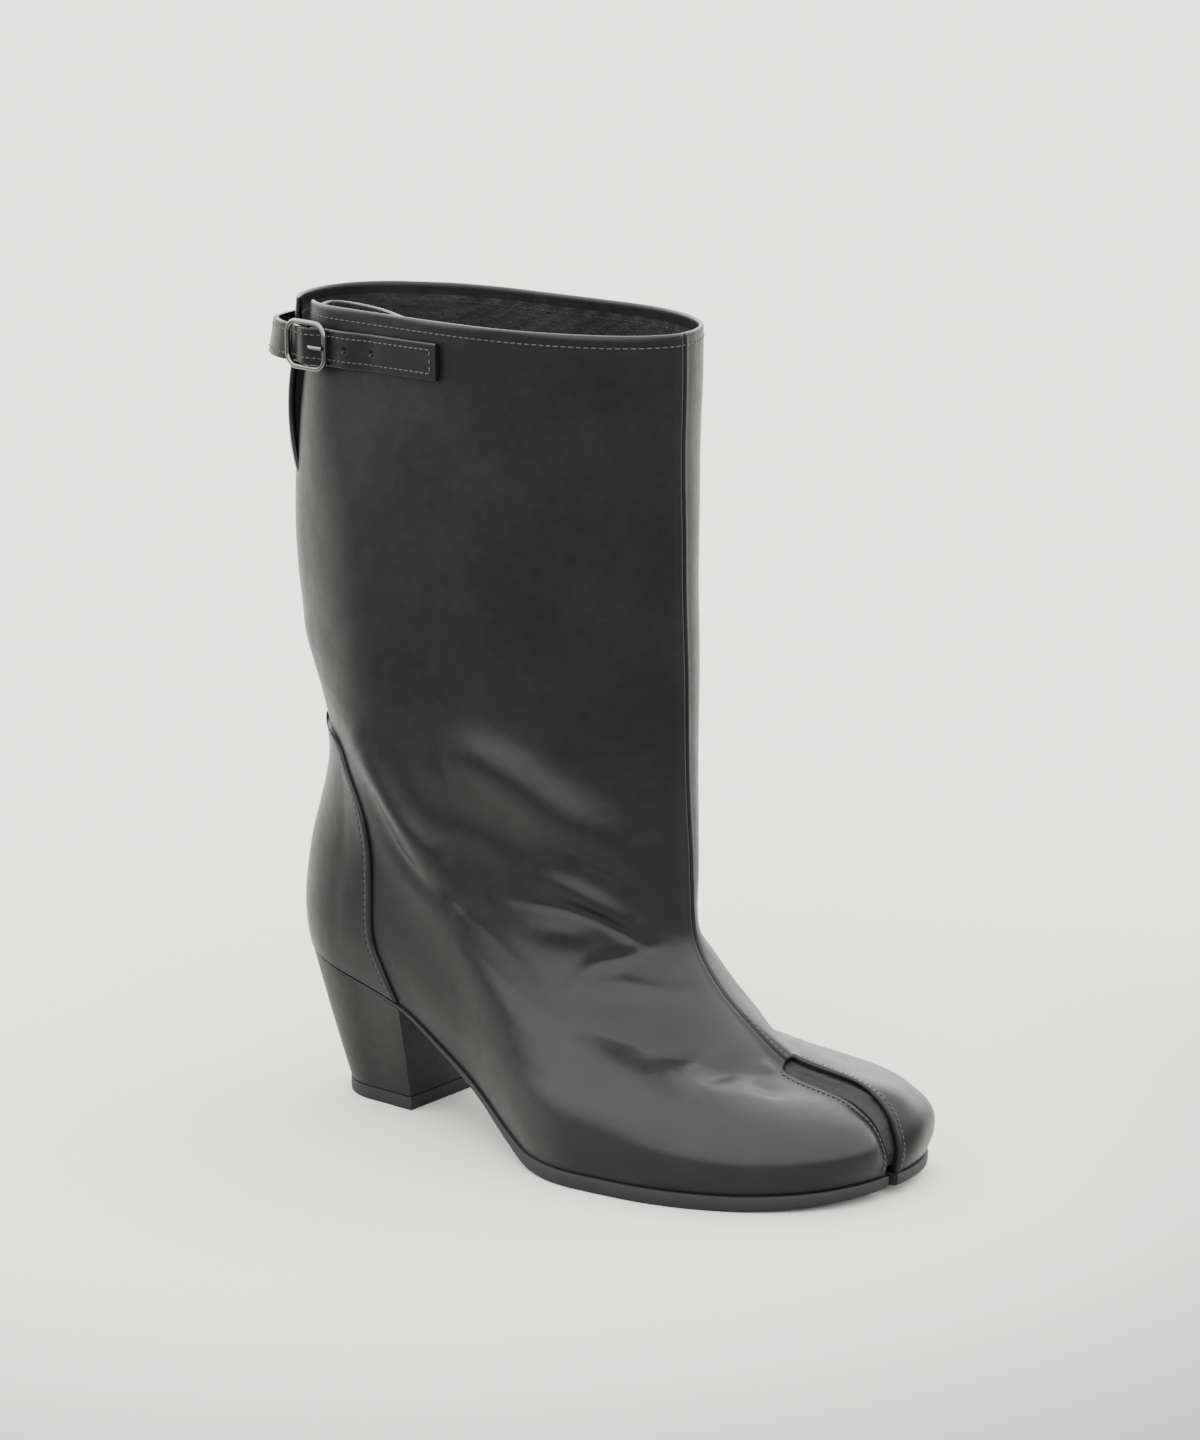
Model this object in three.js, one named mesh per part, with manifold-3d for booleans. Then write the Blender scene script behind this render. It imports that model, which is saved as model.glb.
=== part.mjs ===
// Heeled split-toe boot for the right foot, in millimetres.
// Inside this file x = 0 is the back of the heel seat, +X runs to the toe, +Y to the big toe
// side, +Z up from the floor. The group at the end moves the origin under the heel lift.
import * as THREE from 'three';
import { mergeVertices } from 'three/addons/utils/BufferGeometryUtils.js';
import Module from 'manifold-3d';

const wasm = await Module();
wasm.setup();

// Driving sizes of the boot
const footLength = 248; // heel seat to toe tip along the feather line
const ballWidth = 92; // across the joints
const shaftWidth = 74; // half of the shaft's front to back size, near enough
const seatHeight = 57.5; // feather line above the floor at the back of the heel
const ankleHeight = 165;
const collarHeight = 291;
const toeHeight = 39.5; // top of the toes where the cleft starts
const instepHeight = 100;
const upperWall = 1.8;
const gap = 0.3; // between pieces that touch

// Sole, heel and insole
const soleThickness = 6; // under the ball
const soleMargin = 0.9; // sole edge beyond the upper
const soleTaper = 0.5; // how much smaller the tread face is all round
const toeSpring = 4;
const heelLength = 58; // back of the seat to the breast, at the top
const heelHalfWidth = 28;
const heelBackRake = 16; // how far the back leans in at the floor
const heelBreastRake = 3.5;
const heelFloorHalfWidth = 17.5;
const liftThickness = 5;
const insoleThickness = 2.5;

// Cleft between the toes
const cleftStart = 203;
const cleftTaper = 26; // run over which it narrows to the mouth
const cleftSway = 0.8; // its start lies this much to the little toe side
const cleftSide = 9; // centre line, on the big toe side of the middle
const cleftHalfWidth = 2.7; // in the rounded start
const cleftMouthHalfWidth = 1.75; // at the toe tip
const cleftLiner = 0.7;
const cleftDepth = 1.2; // liner edge below the lips
const toeStep = 5; // big toe lobe above the other toes
const toeLead = 2.2; // and ahead of them
const cleftDip = 5; // lips drawn in from the round of the toes
const cleftDipReach = 7; // how far to each side

// Seams and counter
const seamWidth = 1;
const seamDepth = 0.8;
const counterThickness = 1.1;

// Slit at the back of the collar
const slitLength = 61;
const slitHalfWidth = 1.5; // at the collar
const slitAngle = 0.575; // radians round the section from the back, on the outer side
const slitSpread = 0.62;
const slitBack = 4.5; // inner side panel stands back
const slitForward = 3.2; // outer side panel is pulled in

// Facing folded in from the slit
const facingThickness = 1.6;
const facingHeight = 57;
// angle: round the section; inset: behind the outer form, share of facingReach
const facingReach = 14.5;
const facingRun = table(
  ['angle', 'inset'],
  [
    ['fold', 0.63, 0.21],
    ['turn', 0.5, 0.55],
    ['inner', 0.62, 1],
    ['middle', 1.03, 1],
    ['near_wall', 1.26, 0.56],
    ['end', 1.39, 0.224],
  ],
);

// Strap, buckle and stud
const strapWidth = 13.2;
const strapThickness = 1.6;
const strapDrop = 12.9; // strap's middle below the collar
const strapFront = 82.4; // x of the square end
const strapHoleSize = 2;
const strapHoleX = 40.5;
const strapHolePitch = 12;
const strapSlack = 9; // how far the strap stands off the slit
const chapeThickness = 1.2; // short strap that holds the buckle
const chapeLength = 12;
const buckleLength = 21.2;
const buckleHeight = 17.8;
const buckleWire = 1.9;
const buckleCorner = 4.5;
const buckleX = 31.9; // x of the front bar
const buckleTurn = 0.13; // radians off the boot's length
const barWire = 1.3; // middle bar
const barDrop = 1.3; // middle bar below the frame
const prongWire = 1.4;
const studSize = 11;
const studHeight = 1.8;

// Feather line and tread, from the heel seat to the toe tip.
// at: share of footLength; rise: of the seat; spring: of toeSpring; thick: of soleThickness
const soleLine = table(
  ['at', 'rise', 'spring', 'thick'],
  [
    ['seat', 0, 1, 0, 0.22],
    ['mid_seat', 0.117, 0.88, 0, 0.22],
    ['breast', 0.234, 0.743, 0, 0.3],
    ['high_waist', 0.319, 0.531, 0, 0.42],
    ['mid_waist', 0.399, 0.308, 0, 0.58],
    ['low_waist', 0.472, 0.118, 0, 0.8],
    ['tread_start', 0.532, 0.014, 0, 0.97],
    ['ball', 0.581, 0, 0, 1],
    ['tread_end', 0.827, 0, 0, 1],
    ['toe_rise', 0.927, 0, 0.32, 0.93],
    ['tip', 1, 0, 1, 0.75],
  ],
);

// Sections of the outer form, from the feather line up to the collar.
// backX, frontX: share of footLength. backZ: 0 feather, 1 ankle, 2 collar.
// frontZ: 0 feather, 1 toe, 2 instep, 3 collar. follow: share of the feather's bow.
// backSide, frontSide: side shift of the middle line, share of ballWidth. girth: 0 sized by
// ballWidth, 1 by shaftWidth. backOut to frontIn: length of the rounded ends, outer and inner,
// share of the section. lobe: share of toeStep. dip: share of cleftDip. Then the half widths
// at heel, waist, ball and toe, outer and inner, share of the girth size.
const sections = table(
  ['backX', 'backZ', 'frontX', 'frontZ', 'follow', 'backSide', 'frontSide', 'girth',
    'backOut', 'backIn', 'frontOut', 'frontIn', 'lobe', 'dip',
    'heelOut', 'heelIn', 'waistOut', 'waistIn', 'ballOut', 'ballIn', 'toeOut', 'toeIn'],
  [
    ['feather', 0.008, 0, 0.996, 0, 1, 0, 0.098, 0, 0.13, 0.13, 0.3, 0.09, 0, 0.1,
      0.283, 0.283, 0.348, 0.283, 0.576, 0.413, 0.554, 0.44],
    ['rise', 0.004, 0.074, 1.008, 0.219, 1, 0, 0.098, 0, 0.13, 0.13, 0.3, 0.09, 0.3, 0.55,
      0.299, 0.299, 0.37, 0.31, 0.598, 0.435, 0.576, 0.451],
    ['bulge', 0.002, 0.163, 1.01, 0.422, 1, 0, 0.098, 0, 0.14, 0.14, 0.3, 0.1, 0.6, 1.1,
      0.31, 0.31, 0.386, 0.337, 0.603, 0.44, 0.576, 0.451],
    ['crown', 0.006, 0.265, 0.998, 0.609, 1, 0, 0.098, 0, 0.15, 0.15, 0.31, 0.12, 0.85, 1.1,
      0.31, 0.31, 0.391, 0.359, 0.587, 0.424, 0.543, 0.42],
    ['toe_top', 0.014, 0.377, 0.972, 0.766, 1, 0, 0.098, 0, 0.16, 0.16, 0.33, 0.16, 1, 0.9,
      0.304, 0.304, 0.391, 0.37, 0.543, 0.388, 0.495, 0.38],
    ['toe_flat', 0.028, 0.488, 0.923, 0.884, 0.95, 0, 0.096, 0, 0.17, 0.17, 0.35, 0.31, 1, 0.2,
      0.299, 0.299, 0.391, 0.375, 0.489, 0.333, 0.424, 0.296],
    ['cleft_end', 0.042, 0.591, 0.831, 1, 0.8, 0, 0.087, 0, 0.19, 0.19, 0.38, 0.43, 0.8, 0,
      0.304, 0.304, 0.386, 0.37, 0.424, 0.315, 0.37, 0.256],
    ['vamp', 0.052, 0.693, 0.754, 1.21, 0.55, 0, 0.076, 0.25, 0.21, 0.21, 0.42, 0.48, 0.1, 0,
      0.331, 0.331, 0.406, 0.378, 0.394, 0.39, 0.354, 0.36],
    ['instep', 0.05, 0.795, 0.702, 1.413, 0.35, 0, 0.065, 0.5, 0.24, 0.24, 0.44, 0.46, 0, 0,
      0.367, 0.367, 0.428, 0.404, 0.398, 0.395, 0.361, 0.37],
    ['bend', 0.036, 0.898, 0.668, 1.669, 0.2, 0, 0.054, 0.75, 0.28, 0.28, 0.45, 0.47, 0, 0,
      0.408, 0.408, 0.459, 0.439, 0.42, 0.383, 0.395, 0.305],
    ['ankle', 0.018, 1, 0.663, 2, 0.08, 0, 0.049, 1, 0.32, 0.32, 0.45, 0.45, 0, 0,
      0.453, 0.459, 0.486, 0.493, 0.459, 0.446, 0.432, 0.412],
    ['low_shaft', 0, 1.119, 0.658, 2.157, 0, 0, 0.043, 1, 0.34, 0.34, 0.45, 0.42, 0, 0,
      0.459, 0.48, 0.486, 0.514, 0.466, 0.493, 0.446, 0.473],
    ['calf', -0.012, 1.262, 0.657, 2.34, 0, 0, 0.038, 1, 0.33, 0.33, 0.44, 0.39, 0, 0,
      0.446, 0.5, 0.48, 0.541, 0.466, 0.52, 0.453, 0.514],
    ['mid_calf', -0.018, 1.452, 0.655, 2.55, 0, 0.022, 0.033, 1, 0.3, 0.33, 0.43, 0.37, 0, 0,
      0.446, 0.514, 0.473, 0.554, 0.466, 0.541, 0.453, 0.534],
    ['high_calf', -0.02, 1.675, 0.655, 2.759, 0, 0.076, 0.027, 1, 0.24, 0.3, 0.42, 0.35, 0, 0,
      0.459, 0.5, 0.466, 0.561, 0.453, 0.561, 0.439, 0.561],
    ['under_edge', -0.016, 1.849, 0.657, 2.895, 0, 0.12, 0.027, 1, 0.19, 0.26, 0.42, 0.34, 0, 0,
      0.466, 0.459, 0.459, 0.554, 0.446, 0.574, 0.432, 0.574],
    ['collar', -0.012, 2, 0.658, 3, 0, 0.13, 0.027, 1, 0.18, 0.24, 0.42, 0.34, 0, 0,
      0.453, 0.446, 0.453, 0.554, 0.446, 0.574, 0.432, 0.574],
  ],
);
const stations = { heel: 0.12, waist: 0.36, ball: 0.62, toe: 0.84 };
const topSection = sections.length - 1;

// Front edge of the counter. at: share of footLength; up: 0 feather, 1 ankle
const counterEdge = table(
  ['at', 'up'],
  [
    ['tip', 0.24, -0.16],
    ['foot', 0.214, -0.02],
    ['low', 0.196, 0.09],
    ['middle', 0.193, 0.26],
    ['high', 0.19, 0.4],
    ['shoulder', 0.178, 0.52],
    ['turn', 0.15, 0.63],
    ['top', 0.117, 0.735],
    ['back', 0.02, 0.79],
  ],
);

// How finely the form is faceted
const columnsPerSide = 26;
const slitColumn = 0.02; // columns this far each side of the slit, radians
const formRows = 23;
const cutReach = 5; // how far a cutting body runs past what it cuts

function table(columns, rows) {
  return rows.map(([name, ...values]) => {
    const row = { name };
    columns.forEach((column, i) => {
      row[column] = values[i];
    });
    return row;
  });
}

function mix(a, b, t) {
  return a + (b - a) * t;
}

function smooth(t) {
  const k = Math.min(1, Math.max(0, t));
  return k * k * (3 - 2 * k);
}

// Monotone cubic through the points, so a flat stretch stays flat
function curveThrough(xs, ys, x) {
  const last = xs.length - 1;
  if (x <= xs[0]) return ys[0];
  if (x >= xs[last]) return ys[last];
  const slopes = [];
  for (let i = 0; i < last; i += 1) slopes.push((ys[i + 1] - ys[i]) / (xs[i + 1] - xs[i]));
  const tangent = (i) => {
    if (i === 0) return slopes[0];
    if (i === last) return slopes[last - 1];
    if (slopes[i - 1] * slopes[i] <= 0) return 0;
    return 2 / (1 / slopes[i - 1] + 1 / slopes[i]);
  };
  let i = 0;
  while (x > xs[i + 1]) i += 1;
  const h = xs[i + 1] - xs[i];
  const t = (x - xs[i]) / h;
  const t2 = t * t;
  const t3 = t2 * t;
  return (2 * t3 - 3 * t2 + 1) * ys[i] + (t3 - 2 * t2 + t) * h * tangent(i)
    + (3 * t2 - 2 * t3) * ys[i + 1] + (t3 - t2) * h * tangent(i + 1);
}

function soleValue(column, x) {
  const places = soleLine.map((row) => row.at * footLength);
  return curveThrough(places, soleLine.map((row) => row[column]), x);
}

function soleBottom(x) {
  const seatBottom = seatHeight - soleLine[0].thick * soleThickness;
  return soleValue('rise', x) * seatBottom + soleValue('spring', x) * toeSpring;
}

function featherZ(x) {
  return soleBottom(x) + soleValue('thick', x) * soleThickness;
}

// Value between named heights: 0 is the first, 1 the second and so on
function level(heights, value) {
  const i = Math.min(heights.length - 2, Math.max(0, Math.floor(value)));
  return mix(heights[i], heights[i + 1], value - i);
}

// One section at any place between the rows of the table
function sectionAt(v) {
  const i = Math.min(topSection - 1, Math.max(0, Math.floor(v)));
  const t = v - i;
  const rows = [i - 1, i, i + 1, i + 2].map((k) => sections[Math.min(topSection, Math.max(0, k))]);
  const section = {};
  Object.keys(rows[1]).filter((key) => key !== 'name').forEach((key) => {
    const [a, b, c, d] = rows.map((row) => row[key]);
    section[key] = b + 0.5 * t * (c - a + t * (2 * a - 5 * b + 4 * c - d + t * (3 * (b - c) + d - a)));
  });
  const girth = mix(ballWidth, shaftWidth, section.girth);
  const half = (side) => {
    const keys = ['heel', 'waist', 'ball', 'toe'];
    return {
      at: keys.map((key) => stations[key]),
      size: keys.map((key) => section[key + side] * girth),
      back: section[`back${side}`],
      front: section[`front${side}`],
    };
  };
  const backX = section.backX * footLength;
  const frontX = section.frontX * footLength;
  return {
    backX,
    frontX,
    backZ: level([featherZ(backX), ankleHeight, collarHeight], section.backZ),
    frontZ: level([featherZ(frontX), toeHeight, instepHeight, collarHeight], section.frontZ),
    follow: section.follow,
    backSide: section.backSide * ballWidth,
    frontSide: section.frontSide * ballWidth,
    out: half('Out'),
    in: half('In'),
    lobe: section.lobe * toeStep,
    dip: section.dip * cleftDip,
  };
}

function roundEnd(distance, length) {
  const t = 1 - Math.min(1, Math.max(0, distance / length));
  return Math.sqrt(1 - t * t);
}

// Point of the form. theta goes from the back (0) past the outer side to the front (pi).
function formPoint(section, theta) {
  const s = (1 - Math.cos(theta)) / 2;
  const outer = Math.sin(theta) >= 0;
  const side = outer ? section.out : section.in;
  const half = curveThrough(side.at, side.size, s) * roundEnd(s, side.back) * roundEnd(1 - s, side.front);
  const sign = outer ? -1 : 1;
  const lobe = (sign / 2) * smooth(half / cleftHalfWidth) * smooth((s - 0.7) / 0.22);
  const dip = s > 0.5 ? section.dip * Math.exp(-((half / cleftDipReach) ** 2)) : 0;
  const x = mix(section.backX, section.frontX, s) + lobe * section.follow * toeLead - dip;
  const bow = featherZ(x) - mix(featherZ(section.backX), featherZ(section.frontX), s);
  const z = mix(section.backZ, section.frontZ, s) + section.follow * bow + lobe * section.lobe;
  const middle = section.backSide * (1 - s) * (1 - s) + section.frontSide * s * s;
  return new THREE.Vector3(x, middle + sign * half, z);
}

function formNormal(v, theta) {
  const step = 0.02;
  const low = Math.max(0, v - step);
  const high = Math.min(topSection, v + step);
  const round = formPoint(sectionAt(v), theta + step).sub(formPoint(sectionAt(v), theta - step));
  const rise = formPoint(sectionAt(high), theta).sub(formPoint(sectionAt(low), theta));
  return round.cross(rise).normalize();
}

// The two panels part at the slit: one stands back, the other is pulled forward
function slitShift(theta, z) {
  const turned = theta > Math.PI ? theta - 2 * Math.PI : theta;
  const away = (turned - slitAngle) / slitSpread;
  const open = (z - collarHeight + slitLength) / slitLength;
  const bulge = Math.sin(Math.PI * Math.min(0.7, Math.max(0, open)) ** 0.8);
  const shift = away < 0 ? -slitBack * bulge : slitForward * smooth(open);
  return shift * Math.exp(-away * away);
}

function formSurface(v, theta, offset) {
  const point = formPoint(sectionAt(v), theta);
  const z = point.z;
  const normal = formNormal(v, theta);
  if (v === 0 || v === topSection) normal.setZ(0).normalize();
  point.addScaledVector(normal, offset);
  point.x += slitShift(theta, z);
  if (v === 0) point.z = featherZ(point.x);
  return point;
}

// Place on the form at a given height
function formAtHeight(theta, z, offset) {
  let low = 0;
  let high = topSection;
  for (let i = 0; i < 30; i += 1) {
    const middle = (low + high) / 2;
    if (formPoint(sectionAt(middle), theta).z < z) low = middle;
    else high = middle;
  }
  return formSurface(high, theta, offset).setZ(z);
}

// Even columns, with extra ones at both edges of the slit and over the heel's breast
function columnAngles() {
  const breast = Math.acos(1 - (2 * heelLength) / footLength);
  const angles = [slitAngle - slitColumn, slitAngle + slitColumn, breast];
  for (let i = 0; i <= columnsPerSide; i += 1) {
    const angle = (Math.PI * i) / columnsPerSide;
    if (Math.abs(angle - slitAngle) > 2 * slitColumn) angles.push(angle);
  }
  return angles.sort((a, b) => a - b);
}

// Rungs run from the back to the front: each is an outer point and an inner point
function formRungs(v, offset) {
  return columnAngles().map((theta, i, all) => {
    const outer = formSurface(v, theta, offset);
    const tip = i === 0 || i === all.length - 1;
    return tip ? [outer] : [outer, formSurface(v, 2 * Math.PI - theta, offset)];
  });
}

// Closed body through rings of rungs, lowest first
function loft(rings) {
  const loops = rings.map((rungs) => {
    const outer = rungs.map((rung) => rung[0]);
    const inner = rungs.filter((rung) => rung.length > 1).map((rung) => rung[1]).reverse();
    return [...outer, ...inner];
  });
  const size = loops[0].length;
  const triangles = [];
  for (let j = 0; j + 1 < loops.length; j += 1) {
    for (let i = 0; i < size; i += 1) {
      const next = (i + 1) % size;
      const [a, b, c, d] = [j * size + i, j * size + next, (j + 1) * size + next, (j + 1) * size + i];
      triangles.push([a, b, c], [a, c, d]);
    }
  }
  const places = rungPlaces(rings[0]);
  const top = (loops.length - 1) * size;
  for (let i = 0; i + 1 < places.length; i += 1) {
    const [a, b] = places[i];
    const [c, d] = places[i + 1];
    const flat = [];
    if (c !== d) flat.push([a, c, d]);
    if (a !== b) flat.push([a, d, b]);
    flat.forEach(([p, q, r]) => {
      triangles.push([top + p, top + q, top + r], [p, r, q]);
    });
  }
  return solid(loops.flat(), triangles);
}

function rungPlaces(rungs) {
  const pairs = rungs.filter((rung) => rung.length > 1).length;
  let inner = rungs.length + pairs;
  return rungs.map((rung, i) => {
    if (rung.length === 1) return [i, i];
    inner -= 1;
    return [i, inner];
  });
}

function solid(points, triangles) {
  return new wasm.Manifold(new wasm.Mesh({
    numProp: 3,
    vertProperties: new Float32Array(points.flatMap((p) => [p.x, p.y, p.z])),
    triVerts: new Uint32Array(triangles.flat()),
  }));
}

function solidOf(geometry) {
  geometry.deleteAttribute('normal');
  geometry.deleteAttribute('uv');
  const merged = mergeVertices(geometry, 1e-4);
  return new wasm.Manifold(new wasm.Mesh({
    numProp: 3,
    vertProperties: merged.attributes.position.array,
    triVerts: new Uint32Array(merged.index.array),
  }));
}

// Upright body over a plan outline
function upright(outline, bottom, top) {
  const shape = new THREE.Shape(outline);
  const geometry = new THREE.ExtrudeGeometry(shape, { depth: top - bottom, bevelEnabled: false });
  geometry.translate(0, 0, bottom);
  return solidOf(geometry);
}

// Body over a side outline, from x and z, that runs right across the boot
function across(outline, halfWidth) {
  const shape = new THREE.Shape(outline);
  const geometry = new THREE.ExtrudeGeometry(shape, { depth: 2 * halfWidth, bevelEnabled: false });
  geometry.rotateX(Math.PI / 2);
  geometry.translate(0, halfWidth, 0);
  return solidOf(geometry);
}

function form(offset, rows = formRows) {
  const rings = [];
  for (let j = 0; j <= rows; j += 1) rings.push(formRungs((topSection * j) / rows, offset));
  return rings;
}

function shifted(rungs, dz) {
  return rungs.map((rung) => rung.map((p) => p.clone().setZ(p.z + dz)));
}

// Plan outline of the cleft, a drop that opens at the toe tip
function cleftOutline(grow) {
  const start = cleftStart - grow;
  const end = footLength + 2 * cutReach;
  const stops = 16;
  const outer = [];
  const inner = [];
  for (let i = 0; i <= stops; i += 1) {
    const t = i / stops;
    const x = mix(start, end, t * t);
    const tail = smooth((x - cleftStart) / cleftTaper - 0.5);
    const half = mix(cleftHalfWidth, cleftMouthHalfWidth, tail) + grow;
    const y = mix(cleftSide - cleftSway, cleftSide, smooth((x - cleftStart) / cleftTaper));
    const width = half * roundEnd(x - start, half * 1.6);
    outer.push(new THREE.Vector2(x, y - width));
    if (i > 0) inner.push(new THREE.Vector2(x, y + width));
  }
  return [...outer, ...inner.reverse()];
}

function cleftCut(grow) {
  return upright(cleftOutline(grow), -1, toeHeight * 2);
}

// Shallow channel of the seam that runs up the front from the cleft
function frontSeam() {
  const points = [];
  const triangles = [];
  const first = sections.findIndex((row) => row.name === 'cleft_end');
  const stops = 30;
  for (let j = 0; j <= stops; j += 1) {
    const v = mix(first, topSection, j / stops);
    const normal = formNormal(v, Math.PI);
    const middle = formPoint(sectionAt(v), Math.PI);
    const reach = j === stops ? upperWall : 0;
    [[-1, -seamDepth], [1, -seamDepth], [1, upperWall], [-1, upperWall]].forEach(([side, out]) => {
      const p = middle.clone().addScaledVector(normal, out);
      points.push(new THREE.Vector3(p.x, p.y + (side * seamWidth) / 2, p.z + reach));
    });
    if (j === 0) continue;
    const base = 4 * (j - 1);
    for (let k = 0; k < 4; k += 1) {
      const [a, b] = [base + k, base + ((k + 1) % 4)];
      triangles.push([a, a + 4, b + 4], [a, b + 4, b]);
    }
  }
  const end = 4 * stops;
  triangles.push([0, 1, 2], [0, 2, 3], [end, end + 2, end + 1], [end, end + 3, end + 2]);
  return solid(points, triangles);
}

// Wedge that opens the slit from its foot to the collar
function slitCut() {
  const foot = collarHeight - slitLength;
  const above = cutReach;
  const reach = 3 * cutReach;
  const low = formAtHeight(slitAngle, foot, 0);
  const high = formAtHeight(slitAngle, collarHeight, 0);
  high.x -= slitShift(slitAngle, collarHeight);
  const out = formNormal(topSection - 1, slitAngle).setZ(0).normalize();
  const round = new THREE.Vector3(-out.y, out.x, 0);
  const tip = 0.25;
  const points = [];
  [[low, tip, 0], [high, slitHalfWidth, above]].forEach(([middle, half, lift]) => {
    [[-1, -1], [1, -1], [1, 1], [-1, 1]].forEach(([u, w]) => {
      const p = middle.clone().addScaledVector(round, u * half).addScaledVector(out, w * reach);
      points.push(p.setZ(middle.z + lift));
    });
  });
  const triangles = [[0, 2, 1], [0, 3, 2], [4, 5, 6], [4, 6, 7]];
  for (let k = 0; k < 4; k += 1) {
    const next = (k + 1) % 4;
    triangles.push([k, next, 4 + next], [k, 4 + next, 4 + k]);
  }
  return upFacing(solid(points, triangles), points, triangles);
}

// Turns a small hand-made body right way out
function upFacing(body, points, triangles) {
  if (body.volume() > 0) return body;
  return solid(points, triangles.map(([a, b, c]) => [a, c, b]));
}

// Form that runs on past the feather line and the collar, to cut with
function cutter(offset) {
  const rings = form(offset);
  return loft([shifted(rings[0], -cutReach), ...rings, shifted(rings[formRows], cutReach)]);
}

function makeUpper() {
  const shell = loft(form(0)).subtract(cutter(-upperWall));
  return shell.subtract(cleftCut(0)).subtract(frontSeam()).subtract(slitCut());
}

// Leather strip that lines the cleft, just under its lips
function makeGusset() {
  const strip = cleftCut(-gap).subtract(cleftCut(-gap - cleftLiner));
  return loft(form(-cleftDepth)).intersect(strip);
}

function makeCounter() {
  const skin = loft(form(gap + counterThickness)).subtract(cutter(gap));
  const back = -0.1 * footLength;
  const outline = counterEdge.map((row) => {
    const x = row.at * footLength;
    return new THREE.Vector2(x, mix(seatHeight, ankleHeight, row.up));
  });
  const top = mix(seatHeight, ankleHeight, counterEdge[counterEdge.length - 1].up);
  outline.push(new THREE.Vector2(back, top), new THREE.Vector2(back, 0));
  outline.push(new THREE.Vector2(outline[0].x, 0));
  return skin.intersect(across(outline, ballWidth));
}

// Outline of the feather line moved out or in, at heights worked out from x
function plate(margin, height) {
  return formRungs(0, margin).map((rung) => rung.map((p) => p.clone().setZ(height(p.x))));
}

function makeOutsole() {
  const top = (x) => featherZ(x) - gap;
  const edge = (x) => mix(soleBottom(x), top(x), 0.25);
  const rings = [
    plate(soleMargin - soleTaper, soleBottom),
    plate(soleMargin - soleTaper * 0.4, edge),
    plate(soleMargin, top),
  ];
  return loft(rings).subtract(cleftCut(0));
}

function makeInsole() {
  const rise = insoleThickness;
  const inset = -upperWall - gap;
  const body = loft([plate(inset, featherZ), plate(inset, (x) => featherZ(x) + rise)]);
  return body.subtract(cleftCut(0));
}

// Heel outline: t is 0 under the sole and 1 at the floor
function heelRungs(t, grow, height) {
  const back = mix(gap, heelBackRake, t) - grow;
  const breast = mix(heelLength, heelLength - heelBreastRake, t) + grow;
  const half = mix(heelHalfWidth, heelFloorHalfWidth, t) + grow;
  const round = mix(0.62, 0.5, t);
  const stops = 14;
  const rungs = [];
  for (let i = 0; i <= stops; i += 1) {
    const s = i < stops ? (1 - Math.cos((Math.PI * 0.5 * i) / (stops - 1))) : 1;
    const along = i < stops ? s * round : 1;
    const x = mix(back, breast, along);
    const flare = mix(0.94, 1, smooth((along - round) / (1 - round)));
    const y = half * roundEnd(along, round) * flare;
    rungs.push(i === 0 ? [x] : [x, y]);
  }
  return rungs.map(([x, y]) => {
    const z = height(x);
    if (y === undefined) return [new THREE.Vector3(x, 0, z)];
    return [new THREE.Vector3(x, -y, z), new THREE.Vector3(x, y, z)];
  });
}

function makeHeel() {
  const floor = liftThickness + gap;
  const seat = (x) => soleBottom(x) - gap;
  const levels = [1, 0.66, 0.33, 0];
  return loft(levels.map((t) => heelRungs(t, 0, (x) => mix(seat(x), floor, t))));
}

function makeLift() {
  return loft([heelRungs(1, -0.2, () => 0), heelRungs(1, 0.2, () => 1), heelRungs(1, 0.2, () => liftThickness)]);
}

// Strip of even thickness along a line in plan
function ribbon(line, thickness, bottom, top) {
  const sides = [[], []];
  line.forEach((p, i) => {
    const before = line[Math.max(0, i - 1)];
    const after = line[Math.min(line.length - 1, i + 1)];
    const normal = new THREE.Vector2(after.y - before.y, before.x - after.x).normalize();
    sides[0].push(p.clone().addScaledVector(normal, thickness / 2));
    sides[1].push(p.clone().addScaledVector(normal, -thickness / 2));
  });
  const outline = [...sides[0], ...sides[1].reverse()];
  if (THREE.ShapeUtils.area(outline) < 0) outline.reverse();
  return upright(outline, bottom, top);
}

function splinePoints(points, count) {
  return new THREE.SplineCurve(points).getPoints(count);
}

const strapZ = collarHeight - strapDrop;

// Angle round the outer side where the form reaches x
function angleAt(x) {
  let low = 0;
  let high = Math.PI;
  for (let i = 0; i < 30; i += 1) {
    const middle = (low + high) / 2;
    if (formAtHeight(middle, strapZ, 0).x < x) low = middle;
    else high = middle;
  }
  return high;
}

// Clear of the outer side wall over the strap's whole width
function wallAt(x, stand) {
  const theta = angleAt(x);
  const heights = [-0.5, 0, 0.5].map((share) => strapZ + share * strapWidth);
  const places = heights.map((z) => formAtHeight(theta, z, stand));
  return new THREE.Vector2(x, Math.min(...places.map((p) => p.y)));
}

// Stand of each layer off the wall, under and in the buckle
const strapStand = gap + strapThickness / 2;
const raisedStand = strapStand + chapeThickness + gap;
const frameStand = raisedStand + (strapThickness + buckleWire) / 2 + gap;
const barStand = frameStand - barDrop;
const overBar = (barWire + strapThickness) / 2 + 2 * gap;

// The frame lies in an upright plane along the strap
const buckleAlong = new THREE.Vector2(Math.cos(buckleTurn), -Math.sin(buckleTurn));
const buckleOut = new THREE.Vector2(-Math.sin(buckleTurn), -Math.cos(buckleTurn));
const buckleFront = wallAt(buckleX, frameStand);
const buckleSpan = buckleLength - buckleWire;

// Place in the buckle: distance back from the front bar, and out from the frame's plane
function inBuckle(back, out) {
  return buckleFront.clone().addScaledVector(buckleAlong, -back).addScaledVector(buckleOut, out);
}

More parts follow.
